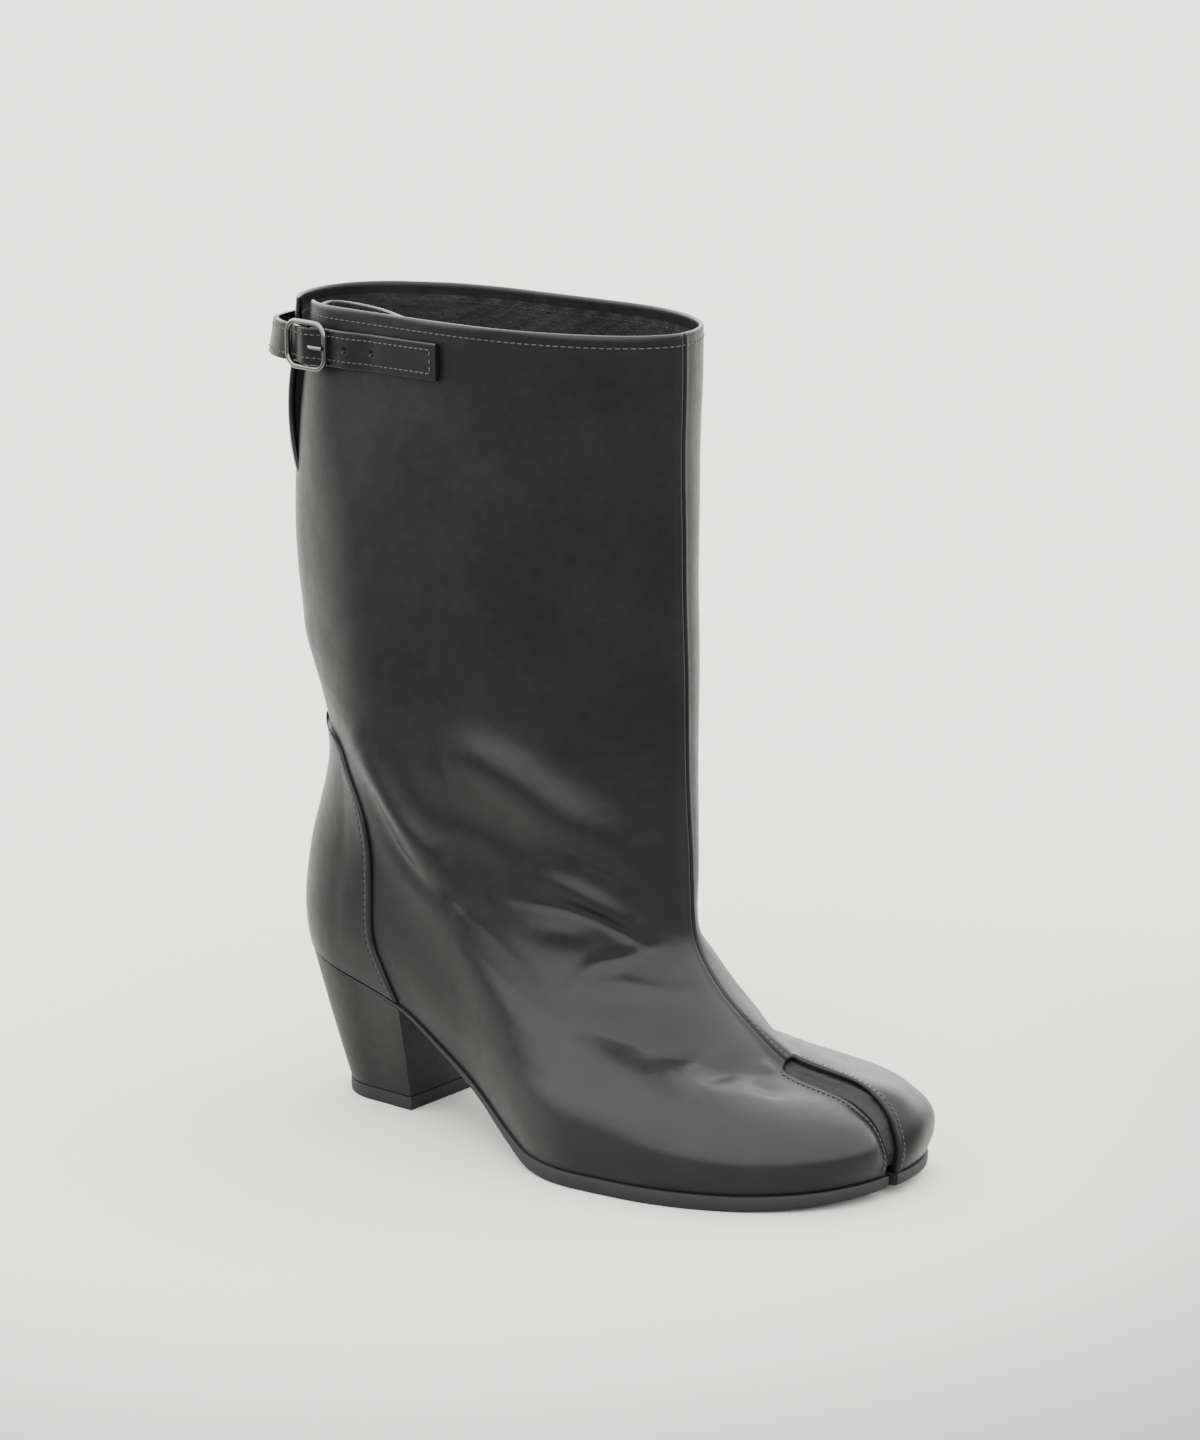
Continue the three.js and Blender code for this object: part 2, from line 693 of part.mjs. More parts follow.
// The strap's run, from its square end along the outer side, under the front bar, over the
// middle bar, under the back bar, slack past the slit and on to the inner side panel
function strapLine() {
  const under = -(strapThickness + buckleWire) / 2 - gap;
  const wall = [];
  for (let x = strapFront; x > buckleX + chapeLength + 5; x -= 8) wall.push(wallAt(x, strapStand));
  const slack = strapSlack;
  const cornerRun = buckleCorner * 0.4;
  return splinePoints([
    ...wall,
    wallAt(buckleX + chapeLength * 0.8, raisedStand),
    wallAt(buckleX + chapeLength * 0.35, raisedStand),
    inBuckle(0, under),
    inBuckle(cornerRun, under),
    inBuckle(buckleSpan * 0.5, overBar - barDrop),
    inBuckle(buckleSpan - cornerRun, under),
    inBuckle(buckleSpan, under),
    inBuckle(buckleSpan + slack * 0.7, under - 0.6),
    inBuckle(buckleSpan + slack * 1.6, under - slack * 0.5),
    inBuckle(buckleSpan + slack * 2.25, under - slack * 1.3),
    panelAt(-0.12, strapStand + slack * 0.5),
    panelAt(-0.26, strapStand + slack * 0.12),
    panelAt(-0.38, strapStand),
    panelAt(-0.5, strapStand),
    panelAt(-0.6, strapStand),
  ], 52);
}

// Place off the inner side panel, at an angle round the section, clear over the strap's width
function panelAt(angle, stand) {
  const theta = 2 * Math.PI + angle;
  const out = formNormal(topSection - 1, theta).setZ(0).normalize();
  const heights = [-0.5, 0, 0.5].map((share) => strapZ + share * strapWidth);
  const places = heights.map((z) => formAtHeight(theta, z, stand));
  places.sort((a, b) => b.dot(out) - a.dot(out));
  return new THREE.Vector2(places[0].x, places[0].y);
}

function makeHoledStrap() {
  const half = strapWidth / 2;
  let body = ribbon(strapLine(), strapThickness, strapZ - half, strapZ + half);
  for (let i = 0; i < 2; i += 1) {
    const x = strapHoleX + i * strapHolePitch;
    const hole = new THREE.CylinderGeometry(strapHoleSize / 2, strapHoleSize / 2, 8, 10);
    const middle = wallAt(x, strapStand);
    hole.translate(middle.x, middle.y, strapZ);
    body = body.subtract(solidOf(hole));
  }
  return body.subtract(prongHole());
}

// Hole that the prong comes up through
function prongHole() {
  const length = buckleSpan * 0.36;
  const slot = new THREE.BoxGeometry(length, 14, prongWire + 2 * gap);
  slot.rotateZ(-buckleTurn);
  const middle = inBuckle(buckleSpan * 0.5 - barWire / 2 - length / 2 + 0.2, 0);
  slot.translate(middle.x, middle.y, strapZ);
  return solidOf(slot);
}

// Chape: under the strap, from the wall to the middle bar
function makeBuckleStrap() {
  const stand = gap + chapeThickness / 2;
  const half = strapWidth / 2 - 1.5;
  const clear = (barWire + chapeThickness) / 2 + gap;
  const line = splinePoints([
    wallAt(buckleX + chapeLength * 0.6, stand),
    wallAt(buckleX, stand),
    wallAt(buckleX - 3, stand),
    inBuckle(buckleSpan * 0.5 - 1, -barDrop - clear - 0.1),
    inBuckle(buckleSpan * 0.5 + clear * 0.75, -barDrop - clear * 0.75),
  ], 14);
  return ribbon(line, chapeThickness, strapZ - half, strapZ + half);
}

// Rounded square wire frame with a middle bar
function makeBuckleFrame() {
  const [w, h, r] = [buckleSpan / 2, (buckleHeight - buckleWire) / 2, buckleCorner];
  const corners = [[w - r, h - r], [-w + r, h - r], [-w + r, -h + r], [w - r, -h + r]];
  const points = [];
  const triangles = [];
  const turns = 4;
  const sides = 8;
  corners.forEach(([cx, cz], quarter) => {
    for (let i = 0; i <= turns; i += 1) {
      const angle = (Math.PI / 2) * (quarter + i / turns);
      for (let k = 0; k < sides; k += 1) {
        const round = (2 * Math.PI * (k + 0.5)) / sides;
        const reach = r + (Math.cos(round) * buckleWire) / 2;
        const place = inBuckle(w - cx - reach * Math.cos(angle), (Math.sin(round) * buckleWire) / 2);
        points.push(new THREE.Vector3(place.x, place.y, strapZ + cz + reach * Math.sin(angle)));
      }
    }
  });
  const count = points.length / sides;
  for (let i = 0; i < count; i += 1) {
    for (let k = 0; k < sides; k += 1) {
      const next = (k + 1) % sides;
      const far = ((i + 1) % count) * sides;
      triangles.push([i * sides + k, far + k, far + next], [i * sides + k, far + next, i * sides + next]);
    }
  }
  return upFacing(solid(points, triangles), points, triangles).add(makeBar());
}

// Middle bar, bowed in so that its ends meet the frame
function makeBar() {
  const reach = (buckleHeight - buckleWire) / 2;
  const stops = [[-1, 0], [-0.82, -0.95], [-0.6, -1], [0.6, -1], [0.82, -0.95], [1, 0]];
  return wireAlong(stops.map(([up, out]) => {
    const p = inBuckle(buckleSpan / 2, out * barDrop);
    return new THREE.Vector3(p.x, p.y, strapZ + up * reach);
  }), barWire, 8);
}

function wireAlong(points, width, steps) {
  const section = new THREE.Shape();
  section.absarc(0, 0, width / 2, 0, 2 * Math.PI);
  const extrudePath = new THREE.CatmullRomCurve3(points);
  return solidOf(new THREE.ExtrudeGeometry(section, { steps, curveSegments: 6, extrudePath }));
}

// Prong: from the middle bar up through the strap, its tip on the front bar
function makeProng() {
  const rest = (buckleWire + prongWire) / 2 + gap;
  const middle = buckleSpan / 2;
  const clear = (barWire + prongWire) / 2 + gap;
  const stops = [
    [middle - clear, -barDrop - 0.3],
    [middle - clear - 1, rest * 0.45],
    [middle - clear - 2.8, rest * 0.95],
    [2.6, rest + 0.2],
    [-1, rest],
  ];
  return wireAlong(stops.map(([back, out]) => {
    const p = inBuckle(back, out);
    return new THREE.Vector3(p.x, p.y, strapZ);
  }), prongWire, 8);
}

const facingLine = splinePoints(facingRun.map((row) => {
  const place = formAtHeight(row.angle, collarHeight, -row.inset * facingReach);
  return new THREE.Vector2(place.x, place.y);
}), 22);

function makeFacing() {
  return ribbon(facingLine, facingThickness, collarHeight - facingHeight, collarHeight - gap);
}

// Plain ring stud pressed through the facing, on the side towards the leg
function makeStud() {
  const at = facingLine[9];
  const next = facingLine[10];
  const turn = Math.atan2(next.y - at.y, next.x - at.x);
  const r = studSize / 2;
  const rim = studHeight;
  const profile = [[0, 0], [r, 0], [r, rim * 0.6], [r - 0.8, rim], [r - 2.2, rim], [r - 2.6, rim * 0.4], [0, rim * 0.4]];
  const stud = new THREE.LatheGeometry(profile.map(([x, y]) => new THREE.Vector2(x, y)), 18);
  stud.rotateZ(turn);
  const clear = facingThickness / 2 + gap;
  stud.translate(at.x - Math.sin(turn) * clear, at.y + Math.cos(turn) * clear, collarHeight - 16);
  return solidOf(stud);
}

function leather(shade) {
  return new THREE.MeshStandardMaterial({ color: shade, roughness: 0.42, metalness: 0 });
}

function rubber() {
  return new THREE.MeshStandardMaterial({ color: 0x1c1c1d, roughness: 0.85, metalness: 0 });
}

function nickel() {
  return new THREE.MeshStandardMaterial({ color: 0x6d6c6b, roughness: 0.25, metalness: 1 });
}

function named(name, body, material) {
  const { vertProperties, triVerts, numProp } = body.getMesh();
  const geometry = new THREE.BufferGeometry();
  const positions = new Float32Array((vertProperties.length / numProp) * 3);
  for (let i = 0; i < positions.length / 3; i += 1) {
    for (let k = 0; k < 3; k += 1) positions[3 * i + k] = vertProperties[numProp * i + k];
  }
  geometry.setAttribute('position', new THREE.BufferAttribute(positions, 3));
  geometry.setIndex(new THREE.BufferAttribute(new Uint32Array(triVerts), 1));
  geometry.computeVertexNormals();
  const mesh = new THREE.Mesh(geometry, material);
  mesh.name = name;
  return mesh;
}

const black = 0x17181a;
const boot = new THREE.Group();
boot.add(named('upper', makeUpper(), leather(black)));
boot.add(named('toe_gusset', makeGusset(), leather(black)));
boot.add(named('heel_counter', makeCounter(), leather(black)));
boot.add(named('outsole', makeOutsole(), rubber()));
boot.add(named('heel', makeHeel(), leather(0x1b1b1c)));
boot.add(named('heel_lift', makeLift(), rubber()));
boot.add(named('insole', makeInsole(), leather(0x222120)));
boot.add(named('vent_facing', makeFacing(), leather(black)));
boot.add(named('press_stud', makeStud(), nickel()));
boot.add(named('holed_strap', makeHoledStrap(), leather(black)));
boot.add(named('buckle_strap', makeBuckleStrap(), leather(black)));
boot.add(named('buckle_frame', makeBuckleFrame(), nickel()));
boot.add(named('buckle_prong', makeProng(), nickel()));
boot.position.set(-(heelBackRake + heelLength - heelBreastRake) / 2, 0, 0);

export default boot;
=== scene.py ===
# Heeled split-toe boot for the right foot, in black calf leather.
# The form is worked out in millimetres from the back of the heel seat, then moved to the frame.
import math
import bmesh
import bpy
import numpy as np
from mathutils import Matrix, Vector
from mathutils.bvhtree import BVHTree


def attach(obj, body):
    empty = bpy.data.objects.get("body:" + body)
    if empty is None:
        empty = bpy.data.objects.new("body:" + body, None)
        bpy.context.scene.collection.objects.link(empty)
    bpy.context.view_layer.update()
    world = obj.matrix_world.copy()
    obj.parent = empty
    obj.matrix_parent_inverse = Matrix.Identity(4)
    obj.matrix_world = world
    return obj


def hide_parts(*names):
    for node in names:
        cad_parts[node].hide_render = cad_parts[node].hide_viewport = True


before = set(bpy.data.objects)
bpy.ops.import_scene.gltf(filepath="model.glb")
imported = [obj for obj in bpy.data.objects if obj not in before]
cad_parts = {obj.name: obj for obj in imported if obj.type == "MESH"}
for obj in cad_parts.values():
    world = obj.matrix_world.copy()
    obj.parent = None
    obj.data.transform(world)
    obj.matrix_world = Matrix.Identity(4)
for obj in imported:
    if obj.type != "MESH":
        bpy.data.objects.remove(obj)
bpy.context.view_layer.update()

# Sizes of the boot in millimetres; angles in radians, from the back round the outer side
boot = {
    "footLength": 248, "ballWidth": 92, "shaftWidth": 74, "seatHeight": 57.5,
    "ankleHeight": 165, "collarHeight": 291, "toeHeight": 39.5, "instepHeight": 100,
    "wall": 1.8, "gap": 0.3, "shiftX": -35.25,
}
cleft = {
    "start": 203, "middle": 8.2, "mouthMiddle": 9.0, "taper": 26, "half": 2.7, "mouthHalf": 1.75,
    "depth": 11, "toeStep": 5, "toeLead": 2.2, "dip": 5, "dipReach": 7, "seamFade": 1.0,
}
slit = {"length": 61, "halfWidth": 1.5, "angle": 0.575, "spread": 0.62, "back": 4.5, "forward": 3.2}
sole = {"thickness": 6, "margin": 0.9, "taper": 0.5, "toeSpring": 4}
heel = {
    "length": 58, "halfWidth": 28, "backRake": 16, "breastRake": 3.5,
    "floorHalfWidth": 17.5, "lift": 5,
}

# Feather line and tread: share of footLength, of the seat's rise, of toeSpring, of the thickness
soleLine = [
    (0, 1, 0, 0.22), (0.117, 0.88, 0, 0.22), (0.234, 0.743, 0, 0.3), (0.319, 0.531, 0, 0.42),
    (0.399, 0.308, 0, 0.58), (0.472, 0.118, 0, 0.8), (0.532, 0.014, 0, 0.97), (0.581, 0, 0, 1),
    (0.827, 0, 0, 1), (0.927, 0, 0.32, 0.93), (1, 0, 1, 0.75),
]
soleColumns = dict(zip(("at", "rise", "spring", "thick"), np.array(soleLine).T))

# Sections of the upper from the feather line to the collar: heights count from the feather line (0)
# past the ankle (1, 2 in front) to the collar, lengths are shares of footLength, widths of the girth
sectionColumns = (
    "backX", "backZ", "frontX", "frontZ", "follow", "backSide", "frontSide", "girth",
    "backOut", "backIn", "frontOut", "frontIn", "lobe", "dip",
    "heelOut", "heelIn", "waistOut", "waistIn", "ballOut", "ballIn", "toeOut", "toeIn",
)
sections = np.array([
    # feather line
    (0.008, 0, 0.996, 0, 1, 0, 0.098, 0, 0.13, 0.13, 0.3, 0.09, 0, 0.1,
     0.283, 0.283, 0.348, 0.283, 0.576, 0.413, 0.554, 0.44),
    # rise
    (0.004, 0.074, 1.008, 0.219, 1, 0, 0.098, 0, 0.13, 0.13, 0.3, 0.09, 0.3, 0.55,
     0.299, 0.299, 0.37, 0.31, 0.598, 0.435, 0.576, 0.451),
    # bulge
    (0.002, 0.163, 1.01, 0.422, 1, 0, 0.098, 0, 0.14, 0.14, 0.3, 0.1, 0.6, 1.1,
     0.31, 0.31, 0.386, 0.337, 0.603, 0.44, 0.576, 0.451),
    # crown
    (0.006, 0.265, 0.998, 0.609, 1, 0, 0.098, 0, 0.15, 0.15, 0.31, 0.12, 0.85, 1.1,
     0.31, 0.31, 0.391, 0.359, 0.587, 0.424, 0.543, 0.42),
    # top of the toes
    (0.014, 0.377, 0.972, 0.766, 1, 0, 0.098, 0, 0.16, 0.16, 0.33, 0.16, 1, 0.9,
     0.304, 0.304, 0.391, 0.37, 0.543, 0.388, 0.495, 0.38),
    # flat of the toes
    (0.028, 0.488, 0.923, 0.884, 0.95, 0, 0.096, 0, 0.17, 0.17, 0.35, 0.31, 1, 0.2,
     0.299, 0.299, 0.391, 0.375, 0.489, 0.333, 0.424, 0.296),
    # end of the cleft
    (0.042, 0.591, 0.831, 1, 0.8, 0, 0.087, 0, 0.19, 0.19, 0.38, 0.43, 0.8, 0,
     0.304, 0.304, 0.386, 0.37, 0.424, 0.315, 0.37, 0.256),
    # vamp
    (0.052, 0.693, 0.754, 1.21, 0.55, 0, 0.076, 0.25, 0.21, 0.21, 0.42, 0.48, 0.1, 0,
     0.331, 0.331, 0.406, 0.378, 0.394, 0.39, 0.354, 0.36),
    # instep
    (0.05, 0.795, 0.702, 1.413, 0.35, 0, 0.065, 0.5, 0.24, 0.24, 0.44, 0.46, 0, 0,
     0.367, 0.367, 0.428, 0.404, 0.398, 0.395, 0.361, 0.37),
    # bend
    (0.036, 0.898, 0.668, 1.669, 0.2, 0, 0.054, 0.75, 0.28, 0.28, 0.45, 0.47, 0, 0,
     0.408, 0.408, 0.459, 0.439, 0.42, 0.383, 0.395, 0.305),
    # ankle
    (0.018, 1, 0.663, 2, 0.08, 0, 0.049, 1, 0.32, 0.32, 0.45, 0.45, 0, 0,
     0.453, 0.459, 0.486, 0.493, 0.459, 0.446, 0.432, 0.412),
    # foot of the shaft
    (0, 1.119, 0.658, 2.157, 0, 0, 0.043, 1, 0.34, 0.34, 0.45, 0.42, 0, 0,
     0.459, 0.48, 0.486, 0.514, 0.466, 0.493, 0.446, 0.473),
    # calf
    (-0.012, 1.262, 0.657, 2.34, 0, 0, 0.038, 1, 0.33, 0.33, 0.44, 0.39, 0, 0,
     0.446, 0.5, 0.48, 0.541, 0.466, 0.52, 0.453, 0.514),
    # middle of the calf
    (-0.018, 1.452, 0.655, 2.55, 0, 0.022, 0.033, 1, 0.3, 0.33, 0.43, 0.37, 0, 0,
     0.446, 0.514, 0.473, 0.554, 0.466, 0.541, 0.453, 0.534),
    # high on the calf
    (-0.02, 1.675, 0.655, 2.759, 0, 0.076, 0.027, 1, 0.24, 0.3, 0.42, 0.35, 0, 0,
     0.459, 0.5, 0.466, 0.561, 0.453, 0.561, 0.439, 0.561),
    # under the edge
    (-0.016, 1.849, 0.657, 2.895, 0, 0.12, 0.027, 1, 0.19, 0.26, 0.42, 0.34, 0, 0,
     0.466, 0.459, 0.459, 0.554, 0.446, 0.574, 0.432, 0.574),
    # collar
    (-0.012, 2, 0.658, 3, 0, 0.13, 0.027, 1, 0.18, 0.24, 0.42, 0.34, 0, 0,
     0.453, 0.446, 0.453, 0.554, 0.446, 0.574, 0.432, 0.574),
])
stations = (0.12, 0.36, 0.62, 0.84)
topRow = len(sections) - 1
cleftRow = 6  # section where the cleft ends

# Front edge of the counter: share of footLength, share of the way from feather line to ankle
counterEdge = [
    (0.24, -0.16), (0.214, -0.02), (0.196, 0.09), (0.193, 0.26), (0.19, 0.4),
    (0.178, 0.52), (0.15, 0.63), (0.117, 0.735), (0.02, 0.79),
]


def mix(a, b, t):
    return a + (b - a) * t


def smooth(t):
    k = np.clip(t, 0, 1)
    return k * k * (3 - 2 * k)


def bell(distance, width):
    return np.exp(-(distance / width) ** 2)


# Smooth way from b to c, with a before and d after
def between(a, b, c, d, t):
    return b + 0.5 * t * (c - a + t * (2 * a - 5 * b + 4 * c - d + t * (3 * (b - c) + d - a)))


# Monotone cubic through the points, so a flat stretch stays flat
def curveThrough(xs, ys, x):
    xs, ys = np.asarray(xs, float), np.asarray(ys, float)
    steps = np.diff(xs)
    slopes = np.diff(ys) / steps
    product = slopes[:-1] * slopes[1:]
    tangents = np.empty(len(xs))
    tangents[0], tangents[-1] = slopes[0], slopes[-1]
    safe = np.where(product > 0, slopes[:-1] + slopes[1:], 1)
    tangents[1:-1] = np.where(product > 0, 2 * product / safe, 0)
    x = np.clip(x, xs[0], xs[-1])
    i = np.clip(np.searchsorted(xs, x, side="right") - 1, 0, len(steps) - 1)
    t = (x - xs[i]) / steps[i]
    t2, t3 = t * t, t * t * t
    return ((2 * t3 - 3 * t2 + 1) * ys[i] + (t3 - 2 * t2 + t) * steps[i] * tangents[i]
            + (3 * t2 - 2 * t3) * ys[i + 1] + (t3 - t2) * steps[i] * tangents[i + 1])


def soleValue(column, x):
    return curveThrough(soleColumns["at"] * boot["footLength"], soleColumns[column], x)


def soleBottom(x):
    seat = boot["seatHeight"] - soleColumns["thick"][0] * sole["thickness"]
    return soleValue("rise", x) * seat + soleValue("spring", x) * sole["toeSpring"]


def featherZ(x):
    return soleBottom(x) + soleValue("thick", x) * sole["thickness"]


# Height for a value that counts the named heights: 1.5 is halfway from the second to the third
def level(heights, value):
    i = int(min(len(heights) - 2, max(0, math.floor(value))))
    return mix(heights[i], heights[i + 1], value - i)


# The section at any height, with lengths in millimetres
def sectionAt(v):
    i = int(min(topRow - 1, max(0, math.floor(v))))
    t = v - i
    a, b, c, d = (sections[min(topRow, max(0, k))] for k in (i - 1, i, i + 1, i + 2))
    values = between(a, b, c, d, t)
    row = dict(zip(sectionColumns, values))
    girth = mix(boot["ballWidth"], boot["shaftWidth"], row["girth"])
    row["out"] = values[[14, 16, 18, 20]] * girth
    row["in"] = values[[15, 17, 19, 21]] * girth
    row["backX"] *= boot["footLength"]
    row["frontX"] *= boot["footLength"]
    row["backFeather"] = featherZ(row["backX"])
    row["frontFeather"] = featherZ(row["frontX"])
    backHeights = (row["backFeather"], boot["ankleHeight"], boot["collarHeight"])
    frontHeights = (row["frontFeather"], boot["toeHeight"], boot["instepHeight"], boot["collarHeight"])
    row["backZ"] = level(backHeights, row["backZ"])
    row["frontZ"] = level(frontHeights, row["frontZ"])
    return row


# Round end of an outline: grows from 0 to 1 over the length, as a circle does
def roundEnd(distance, length):
    t = 1 - np.clip(distance / length, 0, 1)
    return np.sqrt(1 - t * t)


def halfWidth(row, theta):
    s = (1 - np.cos(theta)) / 2
    outer = np.sin(theta) >= 0
    halves = [
        curveThrough(stations, row[side.lower()], s)
        * roundEnd(s, row["back" + side]) * roundEnd(1 - s, row["front" + side])
        for side in ("Out", "In")]
    return s, outer, np.where(outer, *halves)


# Points of the form. theta goes from the back (0) past the outer side to the front (pi).
def formPoint(row, theta):
    s, outer, half = halfWidth(row, theta)
    sign = np.where(outer, -1, 1)
    lobe = sign / 2 * smooth(half / cleft["half"]) * smooth((s - 0.7) / 0.22)
    dip = np.where(s > 0.5, row["dip"] * cleft["dip"] * bell(half, cleft["dipReach"]), 0)
    x = mix(row["backX"], row["frontX"], s) + lobe * row["follow"] * cleft["toeLead"] - dip
    bow = featherZ(x) - mix(row["backFeather"], row["frontFeather"], s)
    z = mix(row["backZ"], row["frontZ"], s) + row["follow"] * bow
    z = z + lobe * row["lobe"] * cleft["toeStep"]
    middle = boot["ballWidth"] * (row["backSide"] * (1 - s) ** 2 + row["frontSide"] * s * s)
    return np.stack([x, middle + sign * half, z], -1)


def unit(vectors):
    return vectors / np.maximum(np.linalg.norm(vectors, axis=-1, keepdims=True), 1e-9)


# Both panels part at the slit: the inner one stands back, the outer one is pulled forward
def slitShift(theta, z):
    inner = theta > math.pi
    away = np.where(inner, theta - 2 * math.pi - slit["angle"], theta - slit["angle"]) / slit["spread"]
    opened = (z - boot["collarHeight"] + slit["length"]) / slit["length"]
    bulge = np.sin(math.pi * np.clip(opened, 0, 0.7) ** 0.8)
    shift = np.where(inner & (away < 0), -slit["back"] * bulge, slit["forward"] * smooth(opened))
    return np.where(inner & (away < -3), 0, shift) * np.exp(-away * away)


# A row of points with the slit's shift, and the normals of the form there
def formRow(v, theta):
    step = 0.02
    theta = np.asarray(theta, float)
    row = sectionAt(v)
    points = formPoint(row, theta)
    around = formPoint(row, theta + step) - formPoint(row, theta - step)
    high = formPoint(sectionAt(min(topRow, v + step)), theta)
    rise = high - formPoint(sectionAt(max(0, v - step)), theta)
    normals = np.cross(around, rise)
    flat = smooth(min(v, topRow - v) / 0.5)
    normals[:, 2] *= flat
    normals = unit(normals)
    points[:, 0] += slitShift(theta, points[:, 2])
    return points, normals


# The place on the form at an angle and a height, and the normal there
def formPlace(theta, z, offset=0.0):
    low, high = 0.0, float(topRow)
    for _ in range(26):
        middle = (low + high) / 2
        if formPoint(sectionAt(middle), np.array([theta]))[0, 2] < z:
            low = middle
        else:
            high = middle
    points, normals = formRow(high, np.array([theta]))
    place = points[0] + normals[0] * offset
    place[2] = z
    return place, normals[0]


# Mesh helpers. Points are in millimetres from the heel seat.
def makePiece(name, points, faces, material, replaced=(), smoothShade=True):
    mesh = bpy.data.meshes.new(name)
    points = np.asarray(points, float).reshape(-1, 3)
    used = np.unique(np.array([i for face in faces for i in face]))
    renumber = np.full(len(points), -1)
    renumber[used] = np.arange(len(used))
    places = (points[used] + (boot["shiftX"], 0, 0)) * 0.001
    mesh.from_pydata(places.tolist(), [], [[int(renumber[i]) for i in face] for face in faces])
    mesh.validate()
    mesh.update()
    mesh.materials.append(material)
    if smoothShade:
        mesh.polygons.foreach_set("use_smooth", [True] * len(mesh.polygons))
    piece = bpy.data.objects.new(name, mesh)
    bpy.context.collection.objects.link(piece)
    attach(piece, "root")
    if replaced:
        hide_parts(*replaced)
    return piece


def gridFaces(index, closed=False, flip=False):
    rows, columns = index.shape
    faces = []
    for r in range(rows - 1):
        for c in range(columns if closed else columns - 1):
            d = (c + 1) % columns
            face = (index[r, c], index[r, d], index[r + 1, d], index[r + 1, c])
            face = tuple(dict.fromkeys(int(i) for i in face))
            if len(face) > 2:
                faces.append(face[::-1] if flip else face)
    return faces


def numbered(rows, columns, start=0):
    return start + np.arange(rows * columns).reshape(rows, columns)


# Tube or bar swept along a line with a cross-section given beside it
def sweep(line, normals, sideways, section, closed=False):
    points = []
    for p, n, s in zip(line, normals, sideways):
        points.append([p + n * a + s * b for a, b in section])
    points = np.array(points)
    count, sides = points.shape[:2]
    index = numbered(count, sides)
    faces = gridFaces(np.vstack([index, index[:1]]) if closed else index, closed=True)
    if not closed:
        faces += [tuple(int(i) for i in index[0][::-1]), tuple(int(i) for i in index[-1])]
    return points.reshape(-1, 3), faces


def splineThrough(points, count):
    points = np.asarray(points, float)
    ends = np.vstack([2 * points[0] - points[1], points, 2 * points[-1] - points[-2]])
    out = []
    last = len(points) - 1
    for k in range(count + 1):
        place = last * k / count
        i = min(last - 1, int(place))
        t = place - i
        out.append(between(*ends[i:i + 4], t))
    return np.array(out)


def evenly(line, pitch):
    steps = np.linalg.norm(np.diff(line, axis=0), axis=1)
    along = np.concatenate([[0], np.cumsum(steps)])
    count = max(2, int(round(along[-1] / pitch)))
    at = (np.arange(count) + 0.5) / count * along[-1]
    return np.stack([np.interp(at, along, line[:, k]) for k in range(3)], -1)


# Stitches: small flattened beads lying along a line, one mesh for the whole row
def stitchRow(name, runs, material, stitch):
    points, faces = [], []
    ring = [(math.cos(a), math.sin(a)) for a in np.arange(6) * math.pi / 3]
    profile = [(-0.5, 0.25), (-0.3, 0.9), (0.3, 0.9), (0.5, 0.25)]
    for line, normals in runs:
        at = evenly(line, stitch["pitch"])
        nearest = [int(np.argmin(np.sum((line - p) ** 2, axis=1))) for p in at]
        for p, k in zip(at, nearest):
            n = normals[k]
            along = unit(line[min(len(line) - 1, k + 1)] - line[max(0, k - 1)])
            side = unit(np.cross(n, along))
            start = len(points)
            for reach, width in profile:
                centre = p + along * reach * stitch["length"] + n * stitch["lift"] * width
                for a, b in ring:
                    points.append(centre + (side * a + n * b * 0.8) * stitch["radius"] * width)
            for r in range(3):
                for c in range(6):
                    d = (c + 1) % 6
                    faces.append((start + 6 * r + c, start + 6 * r + d,
                                  start + 6 * r + 6 + d, start + 6 * r + 6 + c))
            faces.append(tuple(start + c for c in range(5, -1, -1)))
            faces.append(tuple(start + 18 + c for c in range(6)))
    return makePiece(name, points, faces, material)


print("form ready")


# Materials
def linearColour(text):
    values = [int(text[i:i + 2], 16) / 255 for i in (1, 3, 5)]
    return [v / 12.92 if v <= 0.04045 else ((v + 0.055) / 1.055) ** 2.4 for v in values] + [1.0]


# A node with its settings; links say which output feeds which input
def addNode(tree, kind, settings=None, links=None):
    node = tree.nodes.new(kind)
    for name, value in (settings or {}).items():
        if isinstance(name, str) and hasattr(node, name):
            setattr(node, name, value)
        else:
            node.inputs[name].default_value = value
    for name, source in (links or {}).items():
        tree.links.new(source, node.inputs[name])
    return node


def startMaterial(name):
    material = bpy.data.materials.new(name)
    material.use_nodes = True
    material.node_tree.nodes.clear()
    return material, material.node_tree


# Full-grain calf, finished with a thin gloss: fine pores, faint pull-up mottling
calf = {
    "colour": "#0a0a0b", "worn": "#0f0f10", "roughness": 0.36, "ior": 1.4, "specular": 0.25,
    "coat": 0.02, "coatRoughness": 0.25, "poreMm": 0.55, "poreDepth": 0.05,
    "creaseMm": 5.0, "creaseDepth": 0.12, "waveMm": 17, "waveDepth": 0.3,
}


